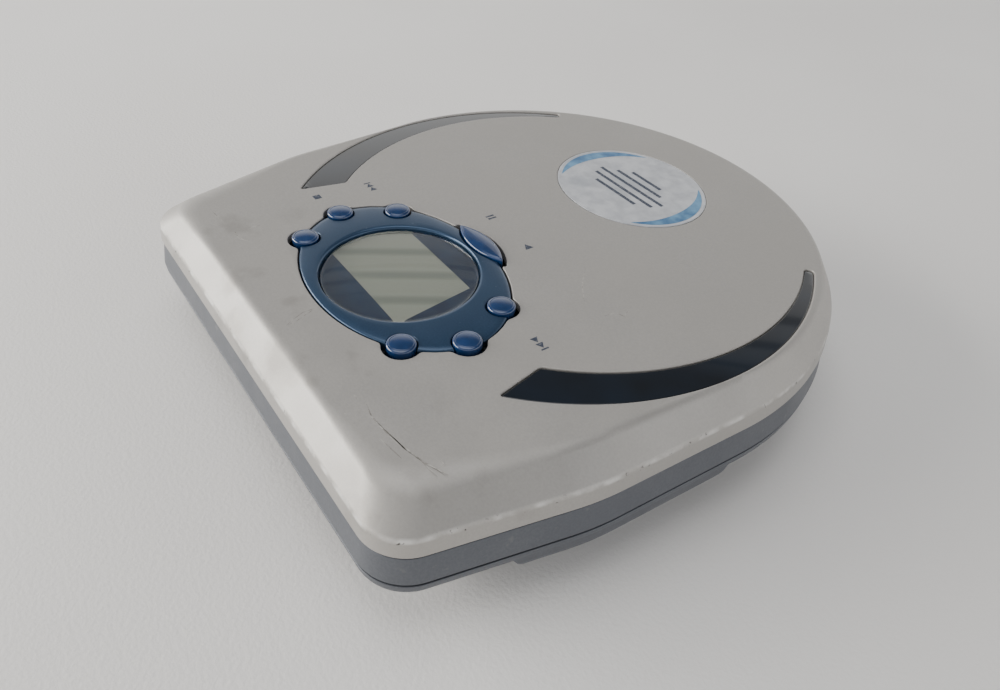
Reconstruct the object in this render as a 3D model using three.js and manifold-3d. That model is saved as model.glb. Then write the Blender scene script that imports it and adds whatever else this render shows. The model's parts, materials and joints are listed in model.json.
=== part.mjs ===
// Portable CD player, modelled in millimetres with +Z up.
// The origin is under the middle of the player, on the surface it stands on.
// -Y is the round front, +Y the straight rear with the hinge, +X the user's right.
// Every height below is above the standing surface. Every plan position is from the disc's axis,
// and one group at the end carries the whole player so that the origin is in the middle.
import * as THREE from 'three';
import { mergeVertices } from 'three/addons/utils/BufferGeometryUtils.js';
import Module from 'manifold-3d';

const wasm = await Module();
wasm.setup();

// ---------------------------------------------------------------- driving dimensions

// The disc that everything is built around.
const DISC_RADIUS = 60;
const DISC_HOLE_RADIUS = 7.5;

// Plan outline of the case: a round front, nearly straight sides, a taper and a straight rear.
const CASE_MARGIN = 6;       // from the disc's rim to the case's side and front
const REAR_DEPTH = 15.6;     // from the disc's rim to the case's rear
const CASE = {
  frontRadius: DISC_RADIUS + CASE_MARGIN, centreY: 0, sideTilt: 2.9, bendY: 38, bendRadius: 60,
  taperTilt: 12.6, rearY: DISC_RADIUS + REAR_DEPTH, cornerRadius: 9.5,
};
// Plan outline of the flat top of the lid, inside the sloping shoulder.
const SHOULDER_RUN = 5.2;     // level width of the shoulder at the sides
const SHOULDER_RUN_REAR = 5;
const TOP_FACE = {
  frontRadius: CASE.frontRadius - SHOULDER_RUN, centreY: -2.2, sideTilt: 4.6, bendY: 38, bendRadius: 60,
  taperTilt: 15.5, rearY: CASE.rearY - SHOULDER_RUN_REAR, cornerRadius: 9,
};
const ARC_STEP = 7.5;         // degrees between points of an outline's arcs

// Heights of the case.
const LID_TOP_Z = 30;
const SHOULDER_FALL = 5.2;
const SHOULDER_Z = LID_TOP_Z - SHOULDER_FALL; // where the sloping shoulder meets the lid's rim
const SHOULDER_SLOPE = 48;   // degrees from level
const LID_EDGE_Z = 21;
const PARTING_GAP = 0.4;
const BAND_HEIGHT = 6.2;
const SEAM_Z = LID_EDGE_Z - PARTING_GAP - BAND_HEIGHT; // underside of the middle case
const SEAM_GAP = 0.3;
const STRIP_Z = SEAM_Z - 2.2; // where the bottom cover turns under
const BELLY_Z = 1.5;
const BELLY_INSET = 14;
const BELLY_CORNER = 8;

// Walls and fits.
const LID_WALL = 1.8;
const CASE_WALL = 1.8;
const COVER_WALL = 1.5;
const RIM_DRAFT = 0.4;       // the rim leans in towards its top
const BAND_INSET = 0.3;      // the middle case at its top, inside the lid's edge
const BAND_FLARE = 0.6;      // the middle case at the seam, outside the lid's edge
const COVER_STEP = 0.1;      // the bottom cover stands this much inside the middle case
const FIT = 0.3;             // gap between pieces that touch
const RUNNING = 0.08;        // radial gap of a shaft in its hole

// Disc well.
const WELL_RADIUS = DISC_RADIUS + 1.5;
const DECK_Z = LID_EDGE_Z - 0.7;
const WELL_FLOOR_Z = DECK_Z - 1.7;
const WELL_FLOOR = 1.1;

// Lid furniture.
const MASK_Z = LID_TOP_Z - LID_WALL - 0.6; // underside of the display's mask
const LINER_Z = MASK_Z - 2.6;
const LINER_THICK = 1;
const RING_CENTRE_Y = 39.3;
const RING_RADIUS_X = 27.9;
const RING_RADIUS_Y = 20.1;
const RING_TOP_Z = LID_TOP_Z - 0.4;
const RING_FLANGE = 1.4;
const WINDOW_RADIUS = 16.8;
const WINDOW_Y = 40;
const WINDOW_LEDGE = 0.5;
// The display shows from its left edge to the window's rim on the right.
const DISPLAY_LEFT_X = -11.5;
const DISPLAY_RIGHT_X = 17;
const DISPLAY_Y = WINDOW_Y - 0.85;
const DISPLAY_HALF_DEPTH = 9.45;
const BUTTON_RADIUS = 2.9;
const BUTTON_TOP_Z = LID_TOP_Z + 1;
const BUTTON_BOTTOM_Z = MASK_Z + 0.55;
const BUTTON_TRAVEL = 0.6;
const BUTTON_GAP = 0.3;      // round a button, in the ring
const SCALLOP_GAP = 0.95;    // round a button, in the lid
const ROUND_BUTTONS = {
  button_repeat: [20.9, 51.7],
  button_stop: [26.5, 40.6],
  button_next: [20.9, 28.8],
  button_mode: [-20.9, 51.7],
  button_program: [-26.5, 40.6],
  button_previous: [-20.9, 28.8],
};
const PLAY_Y = 19.6;
const PLAY_HALF_LENGTH = 8.8;
const PLAY_HALF_WIDTH = 2.9;
const INLAY_OUTER_RADIUS = DISC_RADIUS;
const INLAY_INNER_RADIUS = INLAY_OUTER_RADIUS - 5.2;
const INLAY_INNER_Y = -5.4;
const INLAY_REAR_ANGLE = 46.5;   // degrees from +X, at the wide end
const INLAY_FRONT_ANGLE = -40.5; // degrees from +X, at the thin end
const INLAY_END_DROP = 8.5;   // the wide end slants this much towards the front
const INLAY_STEPS = 10;
const INLAY_GAP = 0.2;
const INLAY_DEPTH = 0.8;
const BADGE_X = 3.3;
const BADGE_Y = -28.7;
const BADGE_HALF_LENGTH = 19.9;
const BADGE_HALF_WIDTH = 17.7;
const BADGE_THICK = 0.3;

// Latch at the front.
const HOOK_Y = 3.1 - CASE.frontRadius;
const HOOK_THICK = 1.2;
const HOOK_HALF_WIDTH = 3;
const HOOK_BOTTOM_Z = LID_EDGE_Z - 4.4;

// Hidden hinge at the rear.
const HINGE_Y = CASE.rearY - 3.6;
const HINGE_Z = LID_EDGE_Z + 3.5;
const HINGE_X = 33;
const PIN_RADIUS = 0.8;
const ARM_RADIUS = 1.6;
const ARM_WIDTH = 5;
const CHEEK_WIDTH = 2;
const POST_Y = HINGE_Y - 8.4; // inner face of the post that carries the hinge arm
const POST_DEPTH = 1.9;

// Turntable and pickup.
const HUB_RADIUS = 15;
const SPINDLE_RADIUS = 0.75;
const SPINDLE_MOTOR_RADIUS = 9;
const DISC_BOTTOM_Z = WELL_FLOOR_Z + 3;
const CHASSIS_Z = WELL_FLOOR_Z - 3;
const CHASSIS_THICK = 0.8;
const LENS_Y = -23;          // lens over the innermost track
const SLED_TRAVEL = DISC_RADIUS - 2.3 + LENS_Y; // out to the last track
const SLED_HALF_WIDTH = 13;
const SLED_TOP_Z = CHASSIS_Z - 0.4;
const SLED_BOTTOM_Z = SLED_TOP_Z - 2.9;
const ROD_X = 10.5;
const ROD_RADIUS = 1;
const ROD_Z = (SLED_BOTTOM_Z + SLED_TOP_Z) / 2;
const ROD_FRONT_Y = LENS_Y - SLED_TRAVEL - 3.7;
const ROD_REAR_Y = -9.8;

// Feed gears: a rack on the sled, a double gear and the motor's pinion.
const GEAR_MODULE = 0.5;
const PRESSURE_ANGLE = 20;
const TOOTH_SHARE = 0.41;    // tooth thickness as a share of the pitch, the rest is backlash
const SMALL_TEETH = 14;
const LARGE_TEETH = 36;
const PINION_TEETH = 12;
const GEAR_Y = -23;
const RACK_X = 19;           // pitch line of the rack
const RACK_Z = SLED_BOTTOM_Z + 0.3;
const RACK_THICK = 2;
const LARGE_GEAR_Z = RACK_Z - 2.3;
const LARGE_GEAR_THICK = 1.5;

// Batteries under the left side.
const CELL_RADIUS = 7.1;
const CELL_LENGTH = 50.5;
const CELL_START_X = 12 - CASE.frontRadius;
const CELL_MIDDLE_Y = 30.2;
const CELL_PITCH = 14.8;
const CELL_AXIS_Z = 10.2;
const BULGE_FRONT_Y = 7;
const BULGE_REAR_Y = 53;
const BULGE_SIDE_Z = 10;
const BULGE_SLOPE = 8.5;
const DOOR_THICK = 1.2;

// Side fittings, on the user's right.
const WHEEL_Y = 28;
const WHEEL_RADIUS = 8.3;
const WHEEL_Z = SEAM_Z + 0.6;
const WHEEL_THICK = 2;
const JACK_Z = SEAM_Z + 3;
const JACK_COLLAR = 2.3;
const HEADPHONE_Y = 43;
const LINE_OUT_Y = 51.5;
const DC_IN_Y = 60;
const HOLD_Y = 6;
const HOLD_TRAVEL = 3;
const HOLD_Z = SEAM_Z + 1.3;
const HOLD_HEIGHT = 1.6;
const OPEN_HALF_WIDTH = 8;
const OPEN_TRAVEL = 1.5;
const OPEN_Z = SEAM_Z + 0.9;
const OPEN_HEIGHT = 1.9;

const SCREW_SPOTS = [[42, 53], [-42, 56], [-38, -28], [46, -14]];
const FOOT_SPOTS = [[28, 55], [-26, 57], [26, -38], [-26, -38]];
const FOOT_RADIUS = 4.5;
const DAMPER_SPOTS = [[-21, -46], [35, -44], [36, 6]];

const BOARD_Z = SEAM_Z - 1.2;
const BOARD_FRONT_Y = GEAR_Y + SLED_TRAVEL + 5.3; // clear of the rack
const BOARD_THICK = 1.1;

// ---------------------------------------------------------------- colours

const finish = {
  silverPaint: { color: 0xb4b2ae, roughness: 0.45, metalness: 0.35 },
  greyPaint: { color: 0x5f6166, roughness: 0.5, metalness: 0.3 },
  bluePaint: { color: 0x34506e, roughness: 0.35, metalness: 0.5 },
  blueGloss: { color: 0x1f3f6b, roughness: 0.15, metalness: 0 },
  smokedBlue: { color: 0x16222e, roughness: 0.1, metalness: 0 },
  blackPlastic: { color: 0x1b1c1e, roughness: 0.55, metalness: 0 },
  clear: { color: 0xdfe6e8, roughness: 0.05, metalness: 0 },
  display: { color: 0x96998c, roughness: 0.3, metalness: 0 },
  foil: { color: 0xc9c9c6, roughness: 0.3, metalness: 0.7 },
  steel: { color: 0xa9abad, roughness: 0.3, metalness: 1 },
  board: { color: 0x1f5b3a, roughness: 0.5, metalness: 0 },
  rubber: { color: 0x222222, roughness: 0.9, metalness: 0 },
  whitePlastic: { color: 0xe4e1d8, roughness: 0.5, metalness: 0 },
  cellSleeve: { color: 0x4a6a52, roughness: 0.4, metalness: 0.2 },
};

// ---------------------------------------------------------------- solids

const radians = THREE.MathUtils.degToRad;

function toSolid(geometry) {
  const bare = geometry.clone();
  bare.deleteAttribute('normal');
  bare.deleteAttribute('uv');
  const merged = mergeVertices(bare, 1e-5);
  return new wasm.Manifold(new wasm.Mesh({
    numProp: 3,
    vertProperties: Float32Array.from(merged.attributes.position.array),
    triVerts: Uint32Array.from(merged.index.array),
  }));
}

function toGeometry(solid) {
  const mesh = solid.getMesh();
  const geometry = new THREE.BufferGeometry();
  geometry.setAttribute('position', new THREE.BufferAttribute(mesh.vertProperties, 3));
  geometry.setIndex(new THREE.BufferAttribute(mesh.triVerts, 1));
  geometry.computeVertexNormals();
  return geometry;
}

function join(first, ...others) {
  return others.reduce((sum, other) => sum.add(other), first);
}

function cut(first, ...others) {
  return others.reduce((rest, other) => rest.subtract(other), first);
}

function box(x0, x1, y0, y1, z0, z1) {
  const geometry = new THREE.BoxGeometry(x1 - x0, y1 - y0, z1 - z0);
  geometry.translate((x0 + x1) / 2, (y0 + y1) / 2, (z0 + z1) / 2);
  return toSolid(geometry);
}

// A flat shape raised from z0 to z1, where every arc already has its own points.
function prism(shape, z0, z1, steps = 12) {
  const geometry = new THREE.ExtrudeGeometry(shape, { depth: z1 - z0, bevelEnabled: false, curveSegments: steps });
  geometry.translate(0, 0, z0);
  return toSolid(geometry);
}

function shapeOf(points) {
  return new THREE.Shape(points);
}

// A shape drawn in the Y-Z plane and run along X.
function prismX(points, x0, x1) {
  const geometry = new THREE.ExtrudeGeometry(shapeOf(points), { depth: x1 - x0, bevelEnabled: false });
  geometry.rotateZ(Math.PI / 2);
  geometry.rotateY(Math.PI / 2);
  geometry.translate(x0, 0, 0);
  return toSolid(geometry);
}

// A shape drawn in the X-Z plane and run along Y.
function prismY(points, y0, y1) {
  const geometry = new THREE.ExtrudeGeometry(shapeOf(points), { depth: y1 - y0, bevelEnabled: false });
  geometry.rotateX(Math.PI / 2);
  geometry.translate(0, y1, 0);
  return toSolid(geometry);
}

// A turned piece about a vertical axis. Profile points are [radius, height].
function turned(profile, x = 0, y = 0, sides = 24) {
  const geometry = new THREE.LatheGeometry(profile.map(([r, z]) => new THREE.Vector2(r, z)), sides);
  geometry.rotateX(Math.PI / 2);
  geometry.translate(x, y, 0);
  return toSolid(geometry);
}

function drum(radius, z0, z1, x = 0, y = 0, sides = 24) {
  return turned([[0, z0], [radius, z0], [radius, z1], [0, z1]], x, y, sides);
}

function tubeZ(outer, inner, z0, z1, x = 0, y = 0, sides = 24) {
  return turned([[inner, z0], [outer, z0], [outer, z1], [inner, z1], [inner, z0]], x, y, sides);
}

// A turned piece about an axis that runs along X. Profile points are [radius, x].
function turnedX(profile, y, z, sides = 24) {
  const geometry = new THREE.LatheGeometry(profile.map(([r, x]) => new THREE.Vector2(r, x)), sides);
  geometry.rotateZ(-Math.PI / 2);
  geometry.translate(0, y, z);
  return toSolid(geometry);
}

function rodX(radius, x0, x1, y, z, sides = 24) {
  return turnedX([[0, x0], [radius, x0], [radius, x1], [0, x1]], y, z, sides);
}

function rodY(radius, y0, y1, x, z, sides = 16) {
  const geometry = new THREE.CylinderGeometry(radius, radius, y1 - y0, sides);
  geometry.translate(x, (y0 + y1) / 2, z);
  return toSolid(geometry);
}

// A skin through a stack of closed outlines with equal numbers of points, closed by flat ends.
function loft(rings) {
  const count = rings[0].points.length;
  const position = [];
  for (const { points, z } of rings) {
    for (const point of points) position.push(point.x, point.y, z);
  }
  const index = [];
  for (let level = 0; level + 1 < rings.length; level += 1) {
    for (let i = 0; i < count; i += 1) {
      const a = level * count + i;
      const b = level * count + ((i + 1) % count);
      index.push(a, b, b + count, a, b + count, a + count);
    }
  }
  const last = (rings.length - 1) * count;
  for (const [a, b, c] of THREE.ShapeUtils.triangulateShape(rings[0].points, [])) index.push(c, b, a);
  for (const [a, b, c] of THREE.ShapeUtils.triangulateShape(rings[rings.length - 1].points, [])) {
    index.push(last + a, last + b, last + c);
  }
  const geometry = new THREE.BufferGeometry();
  geometry.setAttribute('position', new THREE.Float32BufferAttribute(position, 3));
  geometry.setIndex(index);
  return toSolid(geometry);
}

// ---------------------------------------------------------------- outlines

function arcPoints(cx, cy, radius, from, to, steps) {
  const points = [];
  for (let i = 0; i <= steps; i += 1) {
    const angle = radians(from + ((to - from) * i) / steps);
    points.push(new THREE.Vector2(cx + radius * Math.cos(angle), cy + radius * Math.sin(angle)));
  }
  return points;
}

// The plan of the case, moved inwards by `inset` (outwards when it is negative).
// The arcs keep their centres, so outlines of one plan with different insets match point for point.
function outline(plan, inset = 0) {
  const { frontRadius, centreY, sideTilt, bendY, bendRadius, taperTilt, rearY, cornerRadius } = plan;
  const side = radians(sideTilt);
  const taper = radians(taperTilt);
  const bendX = (frontRadius - (bendY - centreY) * Math.sin(side)) / Math.cos(side);
  const halfTurn = (taper - side) / 2;
  const middle = (taper + side) / 2;
  const toCentre = bendRadius / Math.cos(halfTurn);
  const bend = { x: bendX - toCentre * Math.cos(middle), y: bendY - toCentre * Math.sin(middle) };
  const reach = bendX * Math.cos(taper) + bendY * Math.sin(taper);
  const cornerY = rearY - cornerRadius;
  const cornerX = (reach - cornerRadius - cornerY * Math.sin(taper)) / Math.cos(taper);
  const frontSteps = Math.round((90 + sideTilt) / ARC_STEP);
  const right = [
    ...arcPoints(0, centreY, frontRadius - inset, -90, sideTilt, frontSteps),
    ...arcPoints(bend.x, bend.y, bendRadius - inset, sideTilt, taperTilt, 2),
    ...arcPoints(cornerX, cornerY, cornerRadius - inset, taperTilt, 90, 6),
  ];
  const left = right.slice(1).reverse().map((point) => new THREE.Vector2(-point.x, point.y));
  return [...right, ...left];
}

// The same plan drawn smaller by more than its corner radius, with a corner radius of its own.
function smallerPlan(plan, inset, cornerRadius) {
  return { ...plan, frontRadius: plan.frontRadius - inset, rearY: plan.rearY - inset, cornerRadius };
}

function between(first, second, share) {
  return first.map((point, i) => point.clone().lerp(second[i], share));
}

function ellipsePoints(cx, cy, rx, ry, steps) {
  return new THREE.EllipseCurve(cx, cy, rx, ry, 0, Math.PI * 2).getPoints(steps).slice(0, -1);
}

// A pointed lens of two equal arcs, long along X.
function lensPoints(cy, halfLength, halfWidth, steps = 8) {
  const radius = (halfLength ** 2 + halfWidth ** 2) / (2 * halfWidth);
  const sweep = THREE.MathUtils.radToDeg(Math.asin(halfLength / radius));
  const upper = arcPoints(0, cy + halfWidth - radius, radius, 90 - sweep, 90 + sweep, steps);
  const lower = arcPoints(0, cy - halfWidth + radius, radius, 270 - sweep, 270 + sweep, steps);
  return [...upper.slice(0, -1), ...lower.slice(0, -1)];
}

// ---------------------------------------------------------------- lid

// The skin of the lid from its lower edge, over the rim and the shoulder, to the flat top.
// `wall` moves the whole skin inwards.
function lidSkin(wall) {
  const edge = outline(CASE, wall);
  const rim = outline(CASE, wall + RIM_DRAFT);
  const top = outline(TOP_FACE, wall * Math.tan(radians(SHOULDER_SLOPE / 2)));
  const rimZ = SHOULDER_Z - wall * Math.tan(radians(45 - SHOULDER_SLOPE / 2));
  const rise = LID_TOP_Z - wall - rimZ;
  const shoulder = [[0.06, 0.1], [0.8, 0.82], [0.93, 0.94], [1.06, 1]];
  const below = wall > 0 ? 1 : 0;
  return loft([
    { points: edge, z: LID_EDGE_Z - below },
    { points: rim, z: rimZ },
    ...shoulder.map(([share, height]) => ({
      points: between(rim, top, share),
      z: rimZ + rise * height,
    })),
  ]);
}

function ringShape(grow) {
  return shapeOf(ellipsePoints(0, RING_CENTRE_Y, RING_RADIUS_X + grow, RING_RADIUS_Y + grow, 32));
}

function buttonHoles(gap, z0, z1) {
  const round = Object.values(ROUND_BUTTONS).map(([x, y]) => drum(BUTTON_RADIUS + gap, z0, z1, x, y, 14));
  const play = prism(shapeOf(lensPoints(PLAY_Y, PLAY_HALF_LENGTH + gap * 1.6, PLAY_HALF_WIDTH + gap)), z0, z1);
  return join(...round, play);
}

function inlayPoints(side, grow) {
  const spread = THREE.MathUtils.radToDeg(grow / INLAY_OUTER_RADIUS);
  const outer = arcPoints(0, 0, INLAY_OUTER_RADIUS + grow,
    INLAY_FRONT_ANGLE - spread, INLAY_REAR_ANGLE + spread, INLAY_STEPS);
  const end = outer[outer.length - 1];
  const start = outer[0];
  const innerRadius = INLAY_INNER_RADIUS - grow;
  const angleTo = (point, back) => THREE.MathUtils.radToDeg(
    Math.atan2(point.y - INLAY_INNER_Y - back, point.x));
  const inner = arcPoints(0, INLAY_INNER_Y, innerRadius,
    angleTo(end, INLAY_END_DROP) + spread, angleTo(start, 0) - spread, INLAY_STEPS);
  return [...outer, ...inner].map((point) => new THREE.Vector2(side * point.x, point.y));
}

function inlayShape(side, grow = 0) {
  const points = inlayPoints(side, grow);
  return shapeOf(side < 0 ? points.reverse() : points);
}

function hingeCheeks() {
  const cheeks = [];
  for (const side of [-1, 1]) {
    for (const face of [-1, 1]) {
      const middle = side * HINGE_X + face * (ARM_WIDTH / 2 + FIT + CHEEK_WIDTH / 2);
      const x0 = middle - CHEEK_WIDTH / 2;
      const x1 = middle + CHEEK_WIDTH / 2;
      cheeks.push(join(
        rodX(ARM_RADIUS, x0, x1, HINGE_Y, HINGE_Z),
        box(x0, x1, HINGE_Y - ARM_RADIUS, HINGE_Y + ARM_RADIUS, HINGE_Z, LID_TOP_Z - LID_WALL),
      ));
    }
  }
  return join(...cheeks);
}

function hingeBores(radius) {
  const reach = ARM_WIDTH / 2 + FIT + CHEEK_WIDTH + 1;
  return join(...[-1, 1].map((side) => rodX(
    radius, side * HINGE_X - reach, side * HINGE_X + reach, HINGE_Y, HINGE_Z)));
}

function lidShell() {
  const skin = lidSkin(0);
  const shell = cut(skin, lidSkin(LID_WALL));
  const cheeks = hingeCheeks().intersect(skin);
  const deep = LID_TOP_Z - LID_WALL - 1;
  const above = LID_TOP_Z + 1;
  return cut(
    join(shell, cheeks),
    hingeBores(PIN_RADIUS + RUNNING),
    ...[-1, 1].map((side) => rodX(ARM_RADIUS + FIT, side * HINGE_X - ARM_WIDTH / 2 - FIT,
      side * HINGE_X + ARM_WIDTH / 2 + FIT, HINGE_Y, HINGE_Z, 16)),
    prism(ringShape(0), deep, above),
    buttonHoles(SCALLOP_GAP, deep, above),
    prism(inlayShape(1, INLAY_GAP), LID_TOP_Z - INLAY_DEPTH, above),
    prism(inlayShape(-1, INLAY_GAP), LID_TOP_Z - INLAY_DEPTH, above),
    prism(badgeShape(0.2), LID_TOP_Z - BADGE_THICK, above),
  );
}

function lidLiner() {
  const rear = POST_Y - POST_DEPTH - FIT;
  const slab = box(-CASE.frontRadius, CASE.frontRadius, -CASE.frontRadius, rear, LINER_Z, LINER_Z + LINER_THICK);
  return cut(slab.intersect(lidSkin(LID_WALL + FIT)), box(-5, 5, -80, HOOK_Y + 1.9, LINER_Z - 1, LINER_Z + 3));
}

function controlBezel() {
  const flangeTop = LID_TOP_Z - LID_WALL - 0.1;
  const flange = prism(ringShape(RING_FLANGE), flangeTop - 0.5, flangeTop);
  const raised = prism(ringShape(-BUTTON_GAP), flangeTop - 0.2, RING_TOP_Z, 24);
  return cut(
    join(flange, cut(raised, buttonHoles(BUTTON_GAP + 0.1, flangeTop, LID_TOP_Z))),
    buttonHoles(BUTTON_GAP, flangeTop - 1, LID_TOP_Z),
    drum(WINDOW_RADIUS, flangeTop, LID_TOP_Z, 0, WINDOW_Y, 32),
    drum(WINDOW_RADIUS - WINDOW_LEDGE, flangeTop - 1, LID_TOP_Z, 0, WINDOW_Y, 32),
  );
}

function lcdWindow() {
  const bottom = LID_TOP_Z - LID_WALL;
  const radius = WINDOW_RADIUS - 0.25;
  return turned([
    [0, bottom], [radius, bottom], [radius, RING_TOP_Z - 0.5], [radius - 0.4, RING_TOP_Z - 0.1],
    [radius * 0.5, RING_TOP_Z + 0.05], [0, RING_TOP_Z + 0.1],
  ], 0, WINDOW_Y, 32);
}

function displayMask() {
  const plate = drum(WINDOW_RADIUS - WINDOW_LEDGE - 0.2, MASK_Z, MASK_Z + 0.4, 0, WINDOW_Y, 32);
  const y = DISPLAY_HALF_DEPTH;
  return cut(plate, box(DISPLAY_LEFT_X, DISPLAY_RIGHT_X, DISPLAY_Y - y, DISPLAY_Y + y, MASK_Z - 1, MASK_Z + 1));
}

function displayPanel() {
  const lap = 1.2;
  const y = DISPLAY_HALF_DEPTH + lap;
  return box(DISPLAY_LEFT_X - lap, DISPLAY_RIGHT_X, DISPLAY_Y - y, DISPLAY_Y + y, MASK_Z - 0.55, MASK_Z - 0.1);
}

function displayBoard() {
  const top = MASK_Z - 0.7;
  const plate = prism(ringShape(-0.4), top - 0.8, top);
  const spots = [...Object.values(ROUND_BUTTONS), [0, PLAY_Y + 1]];
  const inward = ([x, y]) => [x * 0.95, RING_CENTRE_Y + (y - RING_CENTRE_Y) * 0.95];
  return join(plate, ...spots.map((spot) => drum(1.6, top - 0.1, top + 0.6, ...inward(spot), 8)));
}

function badgeShape(grow) {
  return shapeOf(ellipsePoints(BADGE_X, BADGE_Y, BADGE_HALF_LENGTH + grow, BADGE_HALF_WIDTH + grow, 40));
}

function latchHook() {
  const front = HOOK_Y;
  const back = HOOK_Y + HOOK_THICK;
  const top = LID_TOP_Z - LID_WALL - 1.2;
  const stem = box(-HOOK_HALF_WIDTH, HOOK_HALF_WIDTH, front, back, HOOK_BOTTOM_Z, top);
  const nose = prismX([
    new THREE.Vector2(back - 0.2, HOOK_BOTTOM_Z),
    new THREE.Vector2(back + 0.7, HOOK_BOTTOM_Z + 0.4),
    new THREE.Vector2(back - 0.2, HOOK_BOTTOM_Z + 1.3),
  ], -HOOK_HALF_WIDTH, HOOK_HALF_WIDTH);
  const foot = box(-4.5, 4.5, front, back + 4, LINER_Z + LINER_THICK + 0.1, top);
  const hanging = box(-5, 5, front - 1, back + 2, 0, LID_EDGE_Z);
  return join(stem, nose, foot).intersect(join(lidSkin(LID_WALL + FIT), hanging));
}

function roundButton(x, y) {
  const r = BUTTON_RADIUS;
  return turned([
    [0, BUTTON_BOTTOM_Z], [r, BUTTON_BOTTOM_Z], [r, BUTTON_TOP_Z - 0.9], [r * 0.9, BUTTON_TOP_Z - 0.35],
    [r * 0.6, BUTTON_TOP_Z], [0, BUTTON_TOP_Z],
  ], x, y, 14);
}

function playButton() {
  const ring = (shrink) => lensPoints(PLAY_Y, PLAY_HALF_LENGTH - shrink * 1.8, PLAY_HALF_WIDTH - shrink);
  return loft([
    { points: ring(0), z: BUTTON_BOTTOM_Z }, { points: ring(0), z: BUTTON_TOP_Z - 0.9 },
    { points: ring(0.35), z: BUTTON_TOP_Z - 0.35 }, { points: ring(1), z: BUTTON_TOP_Z },
  ]);
}

// ---------------------------------------------------------------- middle case and well

// Room for the lid's rear edge, which swings down round the hinge pins.
function hingeCove() {
  const sweep = Math.hypot(CASE.rearY - HINGE_Y, HINGE_Z - LID_EDGE_Z) + 0.25;
  const reach = sideX(HINGE_Y) + FIT;
  return rodX(sweep, -reach, reach, HINGE_Y, HINGE_Z, 48);
}

function jackHole(y) {
  const face = sideX(y);
  return rodX(JACK_COLLAR + 0.2, face - 20, face + 5, y, JACK_Z, 20);
}

// A slot through the right wall, centred on y.
function sideSlot(y, halfLength, z0, z1) {
  const face = sideX(y);
  return box(face - 6, face + 5, y - halfLength, y + halfLength, z0, z1);
}

function middleCase() {
  const top = LID_EDGE_Z - PARTING_GAP;
  const outer = loft([
    { points: outline(CASE, -BAND_FLARE), z: SEAM_Z }, { points: outline(CASE, BAND_INSET), z: top },
  ]);
  const inner = prism(shapeOf(outline(CASE, CASE_WALL + BAND_INSET)), SEAM_Z - 1, top + 1);
  return cut(
    outer, inner, hingeCove(),
    ...[HEADPHONE_Y, LINE_OUT_Y, DC_IN_Y].map(jackHole),
    sideSlot(WHEEL_Y, 7, WHEEL_Z - 0.35, WHEEL_Z + WHEEL_THICK + 0.35),
    sideSlot(HOLD_Y, HOLD_TRAVEL / 2 + 2.6, HOLD_Z - 0.3, HOLD_Z + HOLD_HEIGHT + 0.3),
    box(-OPEN_HALF_WIDTH - FIT, OPEN_HALF_WIDTH + FIT, -CASE.frontRadius - 4, 8 - CASE.frontRadius,
      OPEN_Z - 0.4, OPEN_Z + OPEN_HEIGHT + 0.3),
  );
}

function hingeArm(side) {
  const x0 = side * HINGE_X - ARM_WIDTH / 2;
  const x1 = side * HINGE_X + ARM_WIDTH / 2;
  const top = HINGE_Z + ARM_RADIUS;
  const foot = WELL_FLOOR_Z - WELL_FLOOR;
  const post = box(x0, x1, POST_Y - POST_DEPTH, POST_Y, foot, top);
  const arm = box(x0, x1, POST_Y - POST_DEPTH, HINGE_Y, HINGE_Z - ARM_RADIUS, top);
  return join(post, arm, rodX(ARM_RADIUS, x0, x1, HINGE_Y, HINGE_Z));
}

function screwBoss([x, y]) {
  return drum(3, SEAM_Z, WELL_FLOOR_Z - 0.2, x, y, 16);
}

function wellTray() {
  const underside = WELL_FLOOR_Z - WELL_FLOOR;
  const plate = prism(shapeOf(outline(CASE, CASE_WALL + BAND_INSET + FIT)), underside, DECK_Z);
  const well = drum(WELL_RADIUS, WELL_FLOOR_Z, 40, 0, 0, 72);
  const body = cut(plate, well, hingeCove());
  const jackRoom = [HEADPHONE_Y, LINE_OUT_Y, DC_IN_Y].map((y) => box(
    sideX(y, BAND_INSET) - 11.8, sideX(y) + 5, y - 3.4, y + 3.4, JACK_Z - 7, JACK_Z + 2.4));
  const slot = box(-8, 8, LENS_Y - SLED_TRAVEL - 3.6, LENS_Y + 5, 10, 30);
  const withArms = join(cut(body, ...jackRoom), hingeArm(-1), hingeArm(1), ...SCREW_SPOTS.map(screwBoss));
  return cut(
    withArms,
    hingeBores(PIN_RADIUS + RUNNING),
    drum(HUB_RADIUS + 1, 10, 30, 0, 0, 28),
    slot,
    box(-HOOK_HALF_WIDTH - 0.5, HOOK_HALF_WIDTH + 0.5, HOOK_Y - 3.1, HOOK_Y + 2.5, 10, 30),
    ...SCREW_SPOTS.map(([x, y]) => drum(1.15, 10, WELL_FLOOR_Z - 1.8, x, y, 12)),
  );
}

// ---------------------------------------------------------------- bottom cover and battery bay

// Cross-section of the battery bulge in the X-Z plane. `wall` moves it inwards.
function bulgeSection(wall) {
  const side = -CASE.frontRadius - 4;
  const edge = -CASE.frontRadius + 1;
  const rise = 3;
  return [
    new THREE.Vector2(side, SEAM_Z + rise), new THREE.Vector2(side, BULGE_SIDE_Z + wall * 0.4),
    new THREE.Vector2(edge + wall, BULGE_SIDE_Z + wall * 0.4),
    new THREE.Vector2(edge + BULGE_SLOPE + wall, BELLY_Z + wall),
    new THREE.Vector2(-2 - wall, BELLY_Z + wall), new THREE.Vector2(-2 - wall, SEAM_Z + rise),
  ];
}

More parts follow.
